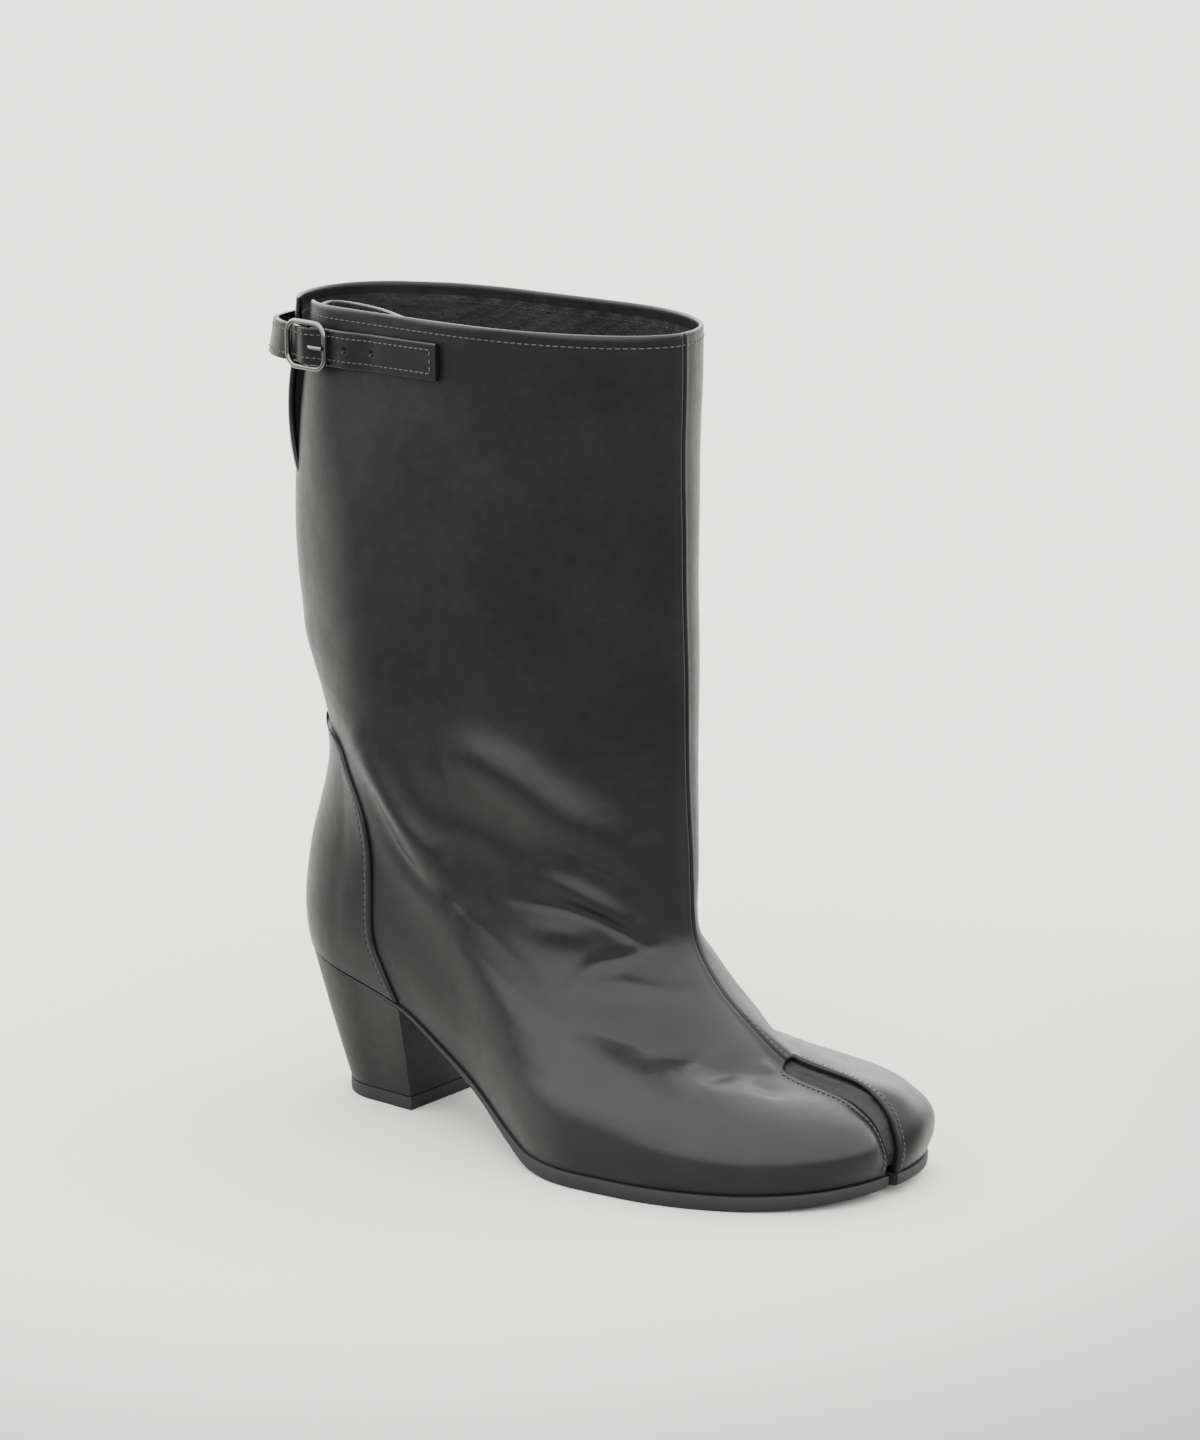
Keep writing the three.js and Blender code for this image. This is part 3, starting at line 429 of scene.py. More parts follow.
def leatherMaterial(name, look):
    material, tree = startMaterial(name)
    place = addNode(tree, "ShaderNodeTexCoord").outputs["Object"]
    # object units are metres: a texture scale of 1000 / size gives cells of that many millimetres
    pores = addNode(tree, "ShaderNodeTexVoronoi", {
        "feature": "F1", "Scale": 1000 / look["poreMm"], "Randomness": 1.0}, {"Vector": place})
    fine = addNode(tree, "ShaderNodeTexNoise", {
        "Scale": 1000 / look["creaseMm"], "Detail": 6.0, "Roughness": 0.62, "Distortion": 0.6},
        {"Vector": place})
    mottle = addNode(tree, "ShaderNodeTexNoise", {
        "Scale": 28.0, "Detail": 3.0, "Roughness": 0.55}, {"Vector": place})
    wave = addNode(tree, "ShaderNodeTexNoise", {
        "Scale": 1000 / look["waveMm"], "Detail": 2.0, "Roughness": 0.4}, {"Vector": place})
    waveBump = addNode(tree, "ShaderNodeBump", {
        "Strength": look["waveDepth"], "Distance": 0.0012}, {"Height": wave.outputs[0]})
    lowBump = addNode(tree, "ShaderNodeBump", {
        "Strength": look["creaseDepth"], "Distance": 0.0006},
        {"Height": fine.outputs[0], "Normal": waveBump.outputs[0]})
    bump = addNode(tree, "ShaderNodeBump", {
        "Strength": look["poreDepth"], "Distance": 0.0002},
        {"Height": pores.outputs["Distance"], "Normal": lowBump.outputs[0]})
    tone = addNode(tree, "ShaderNodeMapRange", {"From Min": 0.35, "From Max": 0.65},
                   {"Value": mottle.outputs[0]})
    colour = addNode(tree, "ShaderNodeMix", {"data_type": "RGBA"}, {"Factor": tone.outputs[0]})
    colour.inputs[6].default_value = linearColour(look["colour"])
    colour.inputs[7].default_value = linearColour(look["worn"])
    rough = addNode(tree, "ShaderNodeMapRange", {
        "From Min": 0.3, "From Max": 0.7, "To Min": look["roughness"] - 0.04,
        "To Max": look["roughness"] + 0.05}, {"Value": fine.outputs[0]})
    shader = addNode(tree, "ShaderNodeBsdfPrincipled", {
        "IOR": look["ior"], "Specular IOR Level": look["specular"], "Coat Weight": look["coat"],
        "Coat Roughness": look["coatRoughness"]},
        {"Base Color": colour.outputs[2], "Roughness": rough.outputs[0], "Normal": bump.outputs[0]})
    addNode(tree, "ShaderNodeOutputMaterial", {}, {"Surface": shader.outputs[0]})
    return material


# Moulded rubber, matt, with a faint even grain
soleRubber = {
    "colour": "#101011", "roughness": 0.62, "ior": 1.45, "specular": 0.3,
    "grainMm": 0.8, "grainDepth": 0.15,
}


def rubberMaterial(name, look):
    material, tree = startMaterial(name)
    place = addNode(tree, "ShaderNodeTexCoord").outputs["Object"]
    grain = addNode(tree, "ShaderNodeTexNoise", {
        "Scale": 1000 / look["grainMm"], "Detail": 4.0}, {"Vector": place})
    bump = addNode(tree, "ShaderNodeBump", {
        "Strength": look["grainDepth"], "Distance": 0.0002}, {"Height": grain.outputs[0]})
    rough = addNode(tree, "ShaderNodeMapRange", {
        "To Min": look["roughness"] - 0.06, "To Max": look["roughness"] + 0.08},
        {"Value": grain.outputs[0]})
    shader = addNode(tree, "ShaderNodeBsdfPrincipled", {
        "Base Color": linearColour(look["colour"]), "IOR": look["ior"],
        "Specular IOR Level": look["specular"]},
        {"Roughness": rough.outputs[0], "Normal": bump.outputs[0]})
    addNode(tree, "ShaderNodeOutputMaterial", {}, {"Surface": shader.outputs[0]})
    return material


# Black nickel plate over a polished casting: dark mirror with faint scratches in its roughness
blackNickel = {"colour": "#5f5c59", "roughness": 0.22, "scratchMm": 0.4}


def nickelMaterial(name, look):
    material, tree = startMaterial(name)
    place = addNode(tree, "ShaderNodeTexCoord").outputs["Object"]
    scratch = addNode(tree, "ShaderNodeTexNoise", {
        "Scale": 1000 / look["scratchMm"], "Detail": 2.0}, {"Vector": place})
    rough = addNode(tree, "ShaderNodeMapRange", {
        "To Min": look["roughness"] - 0.06, "To Max": look["roughness"] + 0.1},
        {"Value": scratch.outputs[0]})
    shader = addNode(tree, "ShaderNodeBsdfPrincipled", {
        "Base Color": linearColour(look["colour"]), "Metallic": 1.0},
        {"Roughness": rough.outputs[0]})
    addNode(tree, "ShaderNodeOutputMaterial", {}, {"Surface": shader.outputs[0]})
    return material


# Smooth calf for the upper, duller over the heel, with painted shade in the cleft; pigskin with open grain
# inside; waxed thread a little lighter than the leather, so that the rows show
blackCalf = leatherMaterial("black calf leather", calf)
heelCalf = leatherMaterial("black calf over the heel block", {**calf, "roughness": 0.5})
# Painted shade in the cleft: its walls get a darker colour and a weaker gloss than the rest of the upper
cleftCalfPaintedShade = leatherMaterial("black calf with painted shade in the cleft", {
    **calf, "colour": "#060607", "worn": "#09090a", "roughness": 0.55, "specular": 0.16, "coat": 0.0})
liningPig = leatherMaterial("black pigskin lining", {
    **calf, "colour": "#111112", "worn": "#18181a", "roughness": 0.42, "coat": 0.0,
    "poreMm": 0.9, "poreDepth": 0.25, "creaseMm": 3.2, "creaseDepth": 0.5})
blackThread = leatherMaterial("black waxed thread", {
    **calf, "colour": "#29292b", "worn": "#3a3a3c", "roughness": 0.5, "coat": 0.0,
    "poreMm": 0.5, "poreDepth": 0.3})
blackLiningThread = leatherMaterial("black thread in the lining", {
    **calf, "colour": "#111112", "worn": "#19191a", "roughness": 0.6, "coat": 0.0})
soleMaterial = rubberMaterial("black moulded rubber", soleRubber)
nickel = nickelMaterial("black nickel plate", blackNickel)
print("materials ready")


# Pads, folds and creases, along places on the boot: millimetres from the heel seat and the floor
creases = {
    "pad": {"width": 10.5, "height": 4.4, "path": [
        (82, -34, 136), (99, -33, 140), (114, -30, 134), (128, -26, 125), (141, -20, 118), (152, -14, 110)]},
    "hollow under the pad": {"width": 9, "height": -1.8, "path": [
        (77, -35, 117), (94, -33, 117), (112, -30, 112), (121, -28, 106)]},
    "fold under the pad": {"width": 3.2, "height": -1.1, "path": [
        (119, -28, 116), (133, -24, 111), (146, -18, 105), (154, -12, 99)]},
    "second fold": {"width": 4.6, "height": 2.2, "path": [
        (120, -28, 101), (133, -24, 97), (143, -18, 92), (153, -13, 86)]},
    "upper crease": {"width": 2.3, "height": -1.2, "path": [
        (113, -29, 92), (130, -25, 91), (143, -19, 87), (154, -13, 81), (159, -10, 78)]},
    "lower crease": {"width": 2.5, "height": -1.2, "path": [
        (160, -9, 78), (151, -16, 75), (144, -21, 73), (140, -25, 70), (137, -29, 63)]},
    "pad in the point": {"width": 4.2, "height": 0.9, "path": [
        (120, -29, 83), (132, -25, 82), (143, -20, 81)]},
    "level crease": {"width": 2.4, "height": -0.8, "path": [
        (138, -29, 65), (152, -20, 66), (162, -14, 65), (172, -4, 63)]},
    "level pad": {"width": 5, "height": 0.9, "path": [(144, -29, 60), (153, -24, 60), (163, -18, 59)]},
    "hollow over the ball": {"width": 6, "height": -0.3, "path": [
        (132, -33, 62), (140, -34, 56), (149, -31, 53), (161, -23, 53)]},
    "ridge by the counter": {"width": 6.5, "height": 3.0, "path": [
        (46, -34, 140), (61, -35, 122), (72, -35, 110), (84, -34, 100)]},
    "hollow by the counter": {"width": 4.5, "height": -1.2, "path": [
        (54, -33, 117), (62, -33, 104), (72, -34, 95), (86, -34, 88)]},
    "dent in the waist": {"width": 4.5, "height": 0.7, "path": [(89, -35, 84), (97, -34, 83)]},
    "back pucker": {"width": 5, "height": -0.75, "path": [(169, -30, 44), (175, -18, 48), (181, -8, 52)]},
    "ridge between puckers": {"width": 5, "height": 1.0, "path": [
        (180, -28, 39), (184, -17, 43), (189, -5, 47)]},
    "front pucker": {"width": 4.4, "height": -1.2, "path": [(189, -26, 38), (193, -12, 41), (197, 1, 43)]},
    "bump by the cleft": {"width": 3.6, "height": 1.3, "path": [(199, -3, 40), (203, 3, 40)]},
    "dent by the cleft": {"width": 4.2, "height": -1.0, "path": [
        (200, -10, 38), (208, -10, 36), (214, -2, 35)]},
    "inner pad": {"width": 12, "height": 2.6, "path": [
        (70, 34, 150), (92, 33, 148), (112, 31, 138), (130, 27, 124), (145, 23, 112)]},
    "inner hollow": {"width": 9, "height": -1.8, "path": [
        (72, 34, 124), (95, 33, 119), (115, 31, 110), (132, 27, 99)]},
    "inner fold": {"width": 4.5, "height": 1.3, "path": [
        (92, 33, 100), (112, 31, 94), (130, 27, 86), (146, 23, 78)]},
    "inner crease": {"width": 2.6, "height": -1.2, "path": [
        (96, 33, 91), (114, 31, 85), (131, 28, 77), (150, 22, 68)]},
    "inner ridge by the counter": {"width": 6, "height": 1.6, "path": [
        (46, 34, 142), (58, 34, 122), (72, 33, 104)]},
    "inner pucker": {"width": 3, "height": -0.8, "path": [(172, 26, 46), (184, 22, 48), (194, 17, 45)]},
    "fold over the back": {"width": 8, "height": 1.2, "path": [(20, -33, 168), (3, -2, 172), (20, 33, 170)]},
}


# Even steps over the surface, from the fastest of a few sample lines
def evenRows(size, refine):
    fine = np.linspace(0, topRow, 1201)
    theta = np.array([0.02, 0.8, 1.6, 2.4, math.pi, 4.0, 5.0])
    lines = np.array([formPoint(sectionAt(v), theta) for v in fine])
    steps = np.linalg.norm(np.diff(lines, axis=0), axis=2).max(axis=1)
    middle = (fine[1:] + fine[:-1]) / 2
    steps = steps * refine(middle)
    along = np.concatenate([[0], np.cumsum(steps)])
    count = int(round(along[-1] / size))
    return np.interp(np.linspace(0, along[-1], count + 1), along, fine)


def evenAngles(size, start, end, rowsAt=(0, 3, 7, 10, 16)):
    fine = np.linspace(start, end, 1201)
    steps = 0
    for v in rowsAt:
        line = formPoint(sectionAt(v), fine)
        steps = np.maximum(steps, np.linalg.norm(np.diff(line, axis=0), axis=1))
    along = np.concatenate([[0], np.cumsum(steps)])
    count = int(round(along[-1] / size))
    return np.interp(np.linspace(0, along[-1], count + 1), along, fine)


# Angles at which the section is so many millimetres from its middle line, near the toes
def frontAngles(row, distances, inner):
    away = np.linspace(0, 1.1, 240)
    theta = math.pi + away if inner else math.pi - away
    theta[0] = math.pi + (1e-6 if inner else -1e-6)
    half = np.maximum.accumulate(halfWidth(row, theta)[2])
    return np.interp(distances, half, theta)


def cleftHalf(x):
    tail = smooth((x - cleft["start"]) / cleft["taper"] - 0.5)
    half = mix(cleft["half"], cleft["mouthHalf"], tail)
    return half * roundEnd(x - cleft["start"], half * 1.6)


# Mesh steps of the upper, and its small relief. A bead is height, place past the edge and width.
upperLook = {
    "rowMm": 1.35, "columnMm": 2.1, "lipSteps": (0, 0.3, 0.7, 1.2, 1.8, 2.5, 3.4, 4.6, 6.2, 8.4, 11.5),
    "grooveSteps": (0, 0.4, 0.75, 0.94), "insideColumns": (5.0, 3.0, 1.2), "seamHalf": 0.35,
    "lipBeads": ((0.45, 1.3, 0.8), (-0.5, 0, 0.45), (-0.18, 2.9, 0.5)),
    "seamBeads": ((0.22, 1.2, 0.8), (-0.7, 0, 0.42)), "cleftRound": 0.12,
    "swell": 0.18, "stitchBelow": 3.4, "stitchGroove": 0.2, "stitchGrooveWidth": 0.6,
}


# Rows run up the boot, columns from one slit edge round the toes to the other. The collar and the
# slit's edges roll over to the inside, and the columns crowd at the cleft and the front seam.
def makeUpper():
    look = upperLook
    vs = evenRows(look["rowMm"], lambda v: np.where(abs(v - cleftRow) < 0.5, 1.8, 1.0))
    rolls = np.linspace(0, 1, 5)[1:]
    insideRows = np.array([0.08, 0.2, 0.36])
    rowV = np.concatenate([vs, np.full(len(rolls), topRow), topRow - insideRows])
    rowRoll = np.concatenate([np.zeros(len(vs)), rolls, np.ones(len(insideRows))])
    rowUp = np.concatenate([np.zeros(len(vs)), np.sin(rolls * math.pi), np.zeros(len(insideRows))])

    outerSpread = evenAngles(look["columnMm"], slit["angle"], math.pi - 0.25)
    innerSpread = evenAngles(look["columnMm"], math.pi + 0.25, 2 * math.pi + slit["angle"])
    outerShare = (outerSpread - slit["angle"]) / (outerSpread[-1] - slit["angle"])
    innerShare = (innerSpread - innerSpread[0]) / (innerSpread[-1] - innerSpread[0])
    lips = np.array(look["lipSteps"])
    groove = np.array(look["grooveSteps"])
    insideColumns = np.array(look["insideColumns"])
    edgeRolls = np.linspace(1, 0, 5)[:-1]

    edge = len(insideColumns) + len(edgeRolls)
    frontCount = len(groove) + len(lips)
    columns = 2 * edge + len(outerShare) - 1 + len(innerShare) - 1 + 2 * frontCount - 1
    first = edge + len(outerShare) - 1
    columnRoll = np.concatenate([
        np.ones(len(insideColumns)), edgeRolls, np.zeros(columns - 2 * edge),
        edgeRolls[::-1], np.ones(len(insideColumns))])
    bulge = np.sin(columnRoll * math.pi) * boot["wall"] / 2
    grid = {
        "points": np.zeros((len(rowV), columns, 3)), "normals": np.zeros((len(rowV), columns, 3)),
        "opened": np.zeros(len(rowV), bool), "inside": np.zeros((len(rowV), columns)),
        "away": np.full((len(rowV), columns), 99.0), "cut": np.zeros(len(rowV)), "rowV": rowV,
        "edge": edge, "outerLip": first + len(lips) - 1, "innerLip": first + 2 * frontCount - 1 - len(lips),
    }
    for r, v in enumerate(rowV):
        row = sectionAt(v)
        half = float(cleftHalf(row["frontX"] - row["dip"] * cleft["dip"])) if v < cleftRow + 0.6 else 0.0
        width = max(look["seamHalf"], half)
        distances = np.concatenate([groove * width, width + lips])
        outFront = frontAngles(row, distances, False)
        inFront = frontAngles(row, distances, True)
        slitEdge = formPoint(row, slit["angle"] + np.array([-0.01, 0, 0.01]))
        share = (slitEdge[1, 2] - boot["collarHeight"] + slit["length"]) / slit["length"]
        opened = share > 0
        tangent = slitEdge[2] - slitEdge[0]
        perRadian = np.linalg.norm(tangent) / 0.02
        parted = (mix(0.25, slit["halfWidth"], share) if opened else 0) / perRadian
        inward = insideColumns / perRadian
        start = slit["angle"] + parted
        end = 2 * math.pi + slit["angle"] - parted
        outer = start + (outFront[-1] - start) * outerShare
        inner = inFront[-1] + (end - inFront[-1]) * innerShare
        theta = np.concatenate([
            start + inward, np.full(len(edgeRolls), start), outer[:-1], outFront[::-1],
            inFront[1:], inner[1:], np.full(len(edgeRolls), end), end - inward[::-1]])
        points, normals = formRow(v, theta)
        depth = np.maximum(rowRoll[r], columnRoll) if opened else np.full(columns, rowRoll[r])
        ease = (1 - np.cos(depth * math.pi)) / 2
        points = points - normals * (ease * boot["wall"])[:, None]
        points[:, 2] += rowUp[r] * boot["wall"] / 2
        if opened:
            points[:edge] -= unit(tangent) * bulge[:edge, None]
            points[-edge:] += unit(tangent) * bulge[-edge:, None]
        grid["points"][r], grid["normals"][r], grid["inside"][r] = points, normals, depth
        grid["opened"][r], grid["cut"][r] = opened, half
        grid["away"][r, first:first + frontCount] = distances[::-1]
        grid["away"][r, first + frontCount:first + 2 * frontCount - 1] = distances[1:]
    return grid


# How far a crease lifts each point: a soft bell across it, fading out at both ends
def creaseMove(crease, points):
    spots = np.array(crease["path"], float)
    flat = points.reshape(-1, 3)
    anchors = [flat[np.argmin(np.sum((flat - p) ** 2, axis=1))] for p in spots]
    line = splineThrough(anchors, 20 * (len(anchors) - 1))
    reach = 3 * crease["width"]
    near = np.all((points > line.min(axis=0) - reach) & (points < line.max(axis=0) + reach), axis=-1)
    distance = np.linalg.norm(points[near][:, None, :] - line[None, :, :], axis=2)
    nearest = distance.min(axis=1)
    weight = np.exp((nearest[:, None] - distance) / (0.12 * crease["width"]))
    place = weight @ np.linspace(0, 1, len(line)) / weight.sum(axis=1)
    taper = np.sin(math.pi * np.clip(place, 0.05, 0.95)) ** 0.7
    move = np.zeros(points.shape[:2])
    move[near] = crease["height"] * bell(nearest, crease["width"]) * taper
    return move


def beads(rows, distance):
    return sum(height * bell(distance - at, width) for height, at, width in rows)


# The cleft sunk in, its lips and the front seam raised, then the creases and a slow swell
def shapeUpper():
    grid = makeUpper()
    look = upperLook
    points, away = grid["points"], grid["away"]
    half = grid["cut"][:, None]
    share = np.minimum(1, half / cleft["mouthHalf"])
    inCut = (away < half) & (half > 0)
    outCut = (away >= half) & (half > 0)
    floor = smooth((half - away) / np.maximum(look["cleftRound"] * half, 1e-6) + 0.05)
    lip = beads(look["lipBeads"], away - half)
    move = np.where(inCut, -cleft["depth"] * share * floor, 0) + np.where(outCut, lip * share, 0)
    seam = beads(look["seamBeads"], away)
    move += seam * (1 - np.minimum(1, half / cleft["seamFade"]))
    for crease in creases.values():
        move += creaseMove(crease, points)
    x, z = points[..., 0], points[..., 2]
    swell = np.sin(x * 0.11 + z * 0.05) * np.sin(z * 0.075 + 1.3)
    move += look["swell"] * swell * smooth((grid["rowV"][:, None] - 1) / 3)
    below = boot["collarHeight"] - z
    move -= look["stitchGroove"] * bell(below - look["stitchBelow"], look["stitchGrooveWidth"])
    move = np.where(grid["inside"] == 0, move, 0)
    grid["points"] = points + grid["normals"] * move[..., None]
    return grid


# Under the slit both ends of a row meet in one column; the cleft's walls get the leather with painted shade
def buildUpper():
    grid = shapeUpper()
    points, edge, opened = grid["points"], grid["edge"], grid["opened"]
    rows, columns = points.shape[:2]
    index = numbered(rows, columns)
    closed = index.copy()
    closed[~opened, columns - edge - 1] = index[~opened, edge]
    faces = gridFaces(closed[:, edge:columns - edge])
    first = int(np.argmax(opened))
    faces += gridFaces(index[first:, :edge + 1])
    faces += gridFaces(index[first:, columns - edge - 1:])
    piece = makePiece("upper", points, faces, blackCalf, ("upper", "toe_gusset"))
    piece.data.materials.append(cleftCalfPaintedShade)
    # faces inside the cleft get the leather with painted shade
    inCut = (grid["away"] < grid["cut"][:, None]).reshape(-1)[np.unique(np.concatenate(faces))]
    for polygon in piece.data.polygons:
        if sum(inCut[i] for i in polygon.vertices) > 1:
            polygon.material_index = 1
    return piece, grid


upperPiece, upperGrid = buildUpper()
print("upper", len(upperPiece.data.polygons), "faces")


# A piece's surface, and a line laid on it
def surfaceOf(piece):
    mesh = piece.data
    corners = [v.co[:] for v in mesh.vertices]
    return BVHTree.FromPolygons(corners, [p.vertices[:] for p in mesh.polygons])


def laidOn(surface, line, facing):
    places, normals = [], []
    shift = np.array([boot["shiftX"], 0, 0])
    for p, n in zip(line, facing):
        spot, normal = surface.find_nearest(Vector((p + shift) * 0.001))[:2]
        places.append(np.array(spot) * 1000 - shift)
        normals.append(np.array(normal) * (1 if np.dot(normal, n) > 0 else -1))
    return np.array(places), np.array(normals)


# Waxed thread: stitch length and pitch as sewn on the boot
stitches = {
    "collar": {"pitch": 2.7, "length": 2.1, "radius": 0.3, "lift": 0.12},
    "lining": {"pitch": 2.7, "length": 2.0, "radius": 0.22, "lift": 0.05},
    "lip": {"pitch": 2.1, "length": 1.5, "radius": 0.34, "lift": 0.25},
    "seam": {"pitch": 2.3, "length": 1.7, "radius": 0.3, "lift": 0.25},
    "counter": {"pitch": 2.6, "length": 2.0, "radius": 0.3, "lift": 0.12},
    "strap": {"pitch": 2.4, "length": 1.8, "radius": 0.28, "lift": 0.12},
}


# Line round the collar, from one edge of the slit to the other
def collarLine(offset, drop, margin=0.07, stops=220):
    angles = np.linspace(slit["angle"] + margin, 2 * math.pi + slit["angle"] - margin, stops)
    places = [formPlace(angle, boot["collarHeight"] - drop, offset) for angle in angles]
    return np.array([p for p, _ in places]), np.array([n for _, n in places])


# Line along one column of the upper, beside the cleft or beside the seam above it
def lipLine(column, low, high, onCut=True):
    rows = [r for r in range(len(upperGrid["cut"])) if low < upperGrid["rowV"][r] < high
            and (upperGrid["cut"][r] > 0.6 * cleft["mouthHalf"]) == onCut]
    return upperGrid["points"][rows, column], upperGrid["normals"][rows, column]


def sewUpper():
    surface = surfaceOf(upperPiece)
    rows = [laidOn(surface, *collarLine(0, upperLook["stitchBelow"]))]
    stitchRow("collar_stitches", rows, blackThread, stitches["collar"])
    steps = upperLook["lipSteps"].index(2.5)
    rows = [lipLine(column, 0.3, cleftRow)
            for column in (upperGrid["outerLip"] - steps, upperGrid["innerLip"] + steps)]
    stitchRow("cleft_stitches", rows, blackThread, stitches["lip"])
    steps = upperLook["lipSteps"].index(0.7)
    rows = [lipLine(upperGrid["innerLip"] + steps, cleftRow - 1.5, cleftRow + 1.2, False)]
    stitchRow("seam_stitches", rows, blackThread, stitches["seam"])


sewUpper()
print("upper sewn")


# Lining: pigskin inside the shaft, slack enough to crinkle
liningLook = {
    "rowMm": 2.4, "columnMm": 2.6, "inset": 2.3, "wrinkle": 0.35, "below": 3.0,
    "parted": 0.09, "stitchBelow": 5.6,
}


def makeLining():
    look = liningLook
    vs = evenRows(look["rowMm"], lambda v: np.where(v > 12, 1.4, 1.0))
    vs = vs[vs > 0.1]
    thetas = evenAngles(look["columnMm"], slit["angle"], slit["angle"] + 2 * math.pi)
    points = np.zeros((len(vs), len(thetas), 3))
    opened = []
    for r, v in enumerate(vs):
        row = sectionAt(v)
        middle = formPoint(row, np.array([slit["angle"]]))[0]
        isOpen = middle[2] > boot["collarHeight"] - slit["length"]
        opened.append(isOpen)
        spread = (thetas - thetas[0]) / (2 * math.pi)
        parted = look["parted"] if isOpen else 0.0
        theta = slit["angle"] + parted + spread * (2 * math.pi - 2 * parted)
        p, n = formRow(v, theta)
        x, y, z = p.T
        wave = np.sin(x * 0.9 + z * 1.7) * np.sin(y * 1.1 - z * 0.8 + x * 0.35)
        points[r] = p - n * (look["inset"] + look["wrinkle"] * (0.5 + 0.5 * wave))[:, None]
    points = points[points[..., 2].max(axis=1) <= boot["collarHeight"] - look["below"]]
    index = numbered(*points.shape[:2])
    for r in range(len(points)):
        if not opened[r]:
            index[r, -1] = index[r, 0]
    return makePiece("lining", points, gridFaces(index, flip=True), liningPig)


def sewLining(piece):
    line, normals = collarLine(-liningLook["inset"], liningLook["stitchBelow"])
    rows = [laidOn(surfaceOf(piece), line, -normals)]
    stitchRow("lining_stitches", rows, blackLiningThread, stitches["lining"])


sewLining(makeLining())
print("lining ready")


# Outer counter: laid over the back, its edge turned down to the upper
counterLook = {
    "thickness": 1.1, "stitchIn": 2.4, "grooveDepth": 0.22, "columns": 30,
    "edgeSteps": (0, 0.35, 0.9, 1.5, 2.0, 2.4, 2.8, 3.3, 4.2, 5.6), "edgeDip": (0.18, 0.03),
    "turned": ((0.25, 1.3), (0.45, 0.9), (0.35, 0.35)),
}


# Where the form passes a length and a height: its section and its angle from the back
def placeOnForm(x, z, inner):
    low, high = 0.0, float(topRow)
    theta = np.linspace(1e-3, 1.6, 160)
    for _ in range(24):
        v = (low + high) / 2
        line = formPoint(sectionAt(v), 2 * math.pi - theta if inner else theta)
        if float(np.interp(x, line[:, 0], line[:, 2])) < z:
            low = v
        else:
            high = v
    return v, float(np.interp(x, line[:, 0], theta))


# Stops along the counter's front edge, on the outer and on the inner side
def counterPlaces():
    edge = [(at * boot["footLength"], 0, mix(boot["seatHeight"], boot["ankleHeight"], up))
            for at, up in counterEdge]
    stops = [(*placeOnForm(x, z, False), *placeOnForm(x, z, True))
             for x, _, z in splineThrough(edge, 120)]
    return [stop for stop in stops if stop[0] > 0.02]


# Angles of one row of the counter: close steps at its edge, even ones to the back
def counterAngles(v, angle, inner, columns):
    near = formPoint(sectionAt(v), np.array([angle, angle - 0.01]))
    perRadian = np.linalg.norm(near[1] - near[0]) / 0.01
    arc = angle * perRadian
    fine = np.array(counterLook["edgeSteps"]) * min(1, arc / 12)
    rest = np.linspace(fine[-1], arc, columns)[1:]
    angles = angle - np.concatenate([fine, rest]) / perRadian
    return 2 * math.pi - angles if inner else angles


def makeCounter():
    look = counterLook
    offset = boot["gap"] + look["thickness"]
    points, outerRun, innerRun = [], [], []
    stitchAt = look["edgeSteps"].index(look["stitchIn"])
    dip = np.zeros(len(look["edgeSteps"]) + look["columns"] - 1)
    dip[stitchAt] = look["grooveDepth"]
    dip[:2] = look["edgeDip"]
    for v1, outAngle, v2, inAngle in counterPlaces():
        outerPoints, outerNormals = formRow(v1, counterAngles(v1, outAngle, False, look["columns"]))
        innerPoints, innerNormals = formRow(v2, counterAngles(v2, inAngle, True, look["columns"]))
        outer = outerPoints + outerNormals * (offset - dip)[:, None]
        inner = innerPoints + innerNormals * (offset - dip)[:, None]
        outerEnd, innerEnd = unit(outer[0] - outer[1]), unit(inner[0] - inner[1])
        head = [outer[0] + outerEnd * out - outerNormals[0] * down for out, down in look["turned"]]
        tail = [inner[0] + innerEnd * out - innerNormals[0] * down for out, down in look["turned"][::-1]]
        points.append(np.vstack([head, outer, inner[:-1][::-1], tail]))
        outerRun.append((outer[stitchAt], outerNormals[stitchAt]))
        innerRun.append((inner[stitchAt], innerNormals[stitchAt]))
    points = np.array(points)
    index = numbered(*points.shape[:2])
    piece = makePiece("heel_counter", points, gridFaces(index, flip=True), blackCalf,
                      ("heel_counter",))
    rows = [tuple(np.array(column) for column in zip(*run[1:-3])) for run in (outerRun, innerRun)]
    stitchRow("counter_stitches", rows, blackThread, stitches["counter"])
    return piece


counterPiece = makeCounter()
print("counter", len(counterPiece.data.polygons), "faces")


# Sole plates. Stations run to the cleft's end, then along both toes
plateLook = {"stepMm": 1.5, "toeStops": 36}


# Both walls of the cleft in plan; grow widens it
def cleftSides(x, grow):
    into = (x - cleft["start"]) / cleft["taper"]
    half = mix(cleft["half"], cleft["mouthHalf"], smooth(into - 0.5)) + grow
    half = half * roundEnd(x - cleft["start"] + grow, half * 1.6)
    middle = mix(cleft["middle"], cleft["mouthMiddle"], smooth(into))
    return middle - half, middle + half


def evenLine(line, count):
    along = np.concatenate([[0], np.cumsum(np.linalg.norm(np.diff(line, axis=0), axis=1))])
    at = np.linspace(0, along[-1], count)
    return np.stack([np.interp(at, along, line[:, k]) for k in range(line.shape[1])], -1)


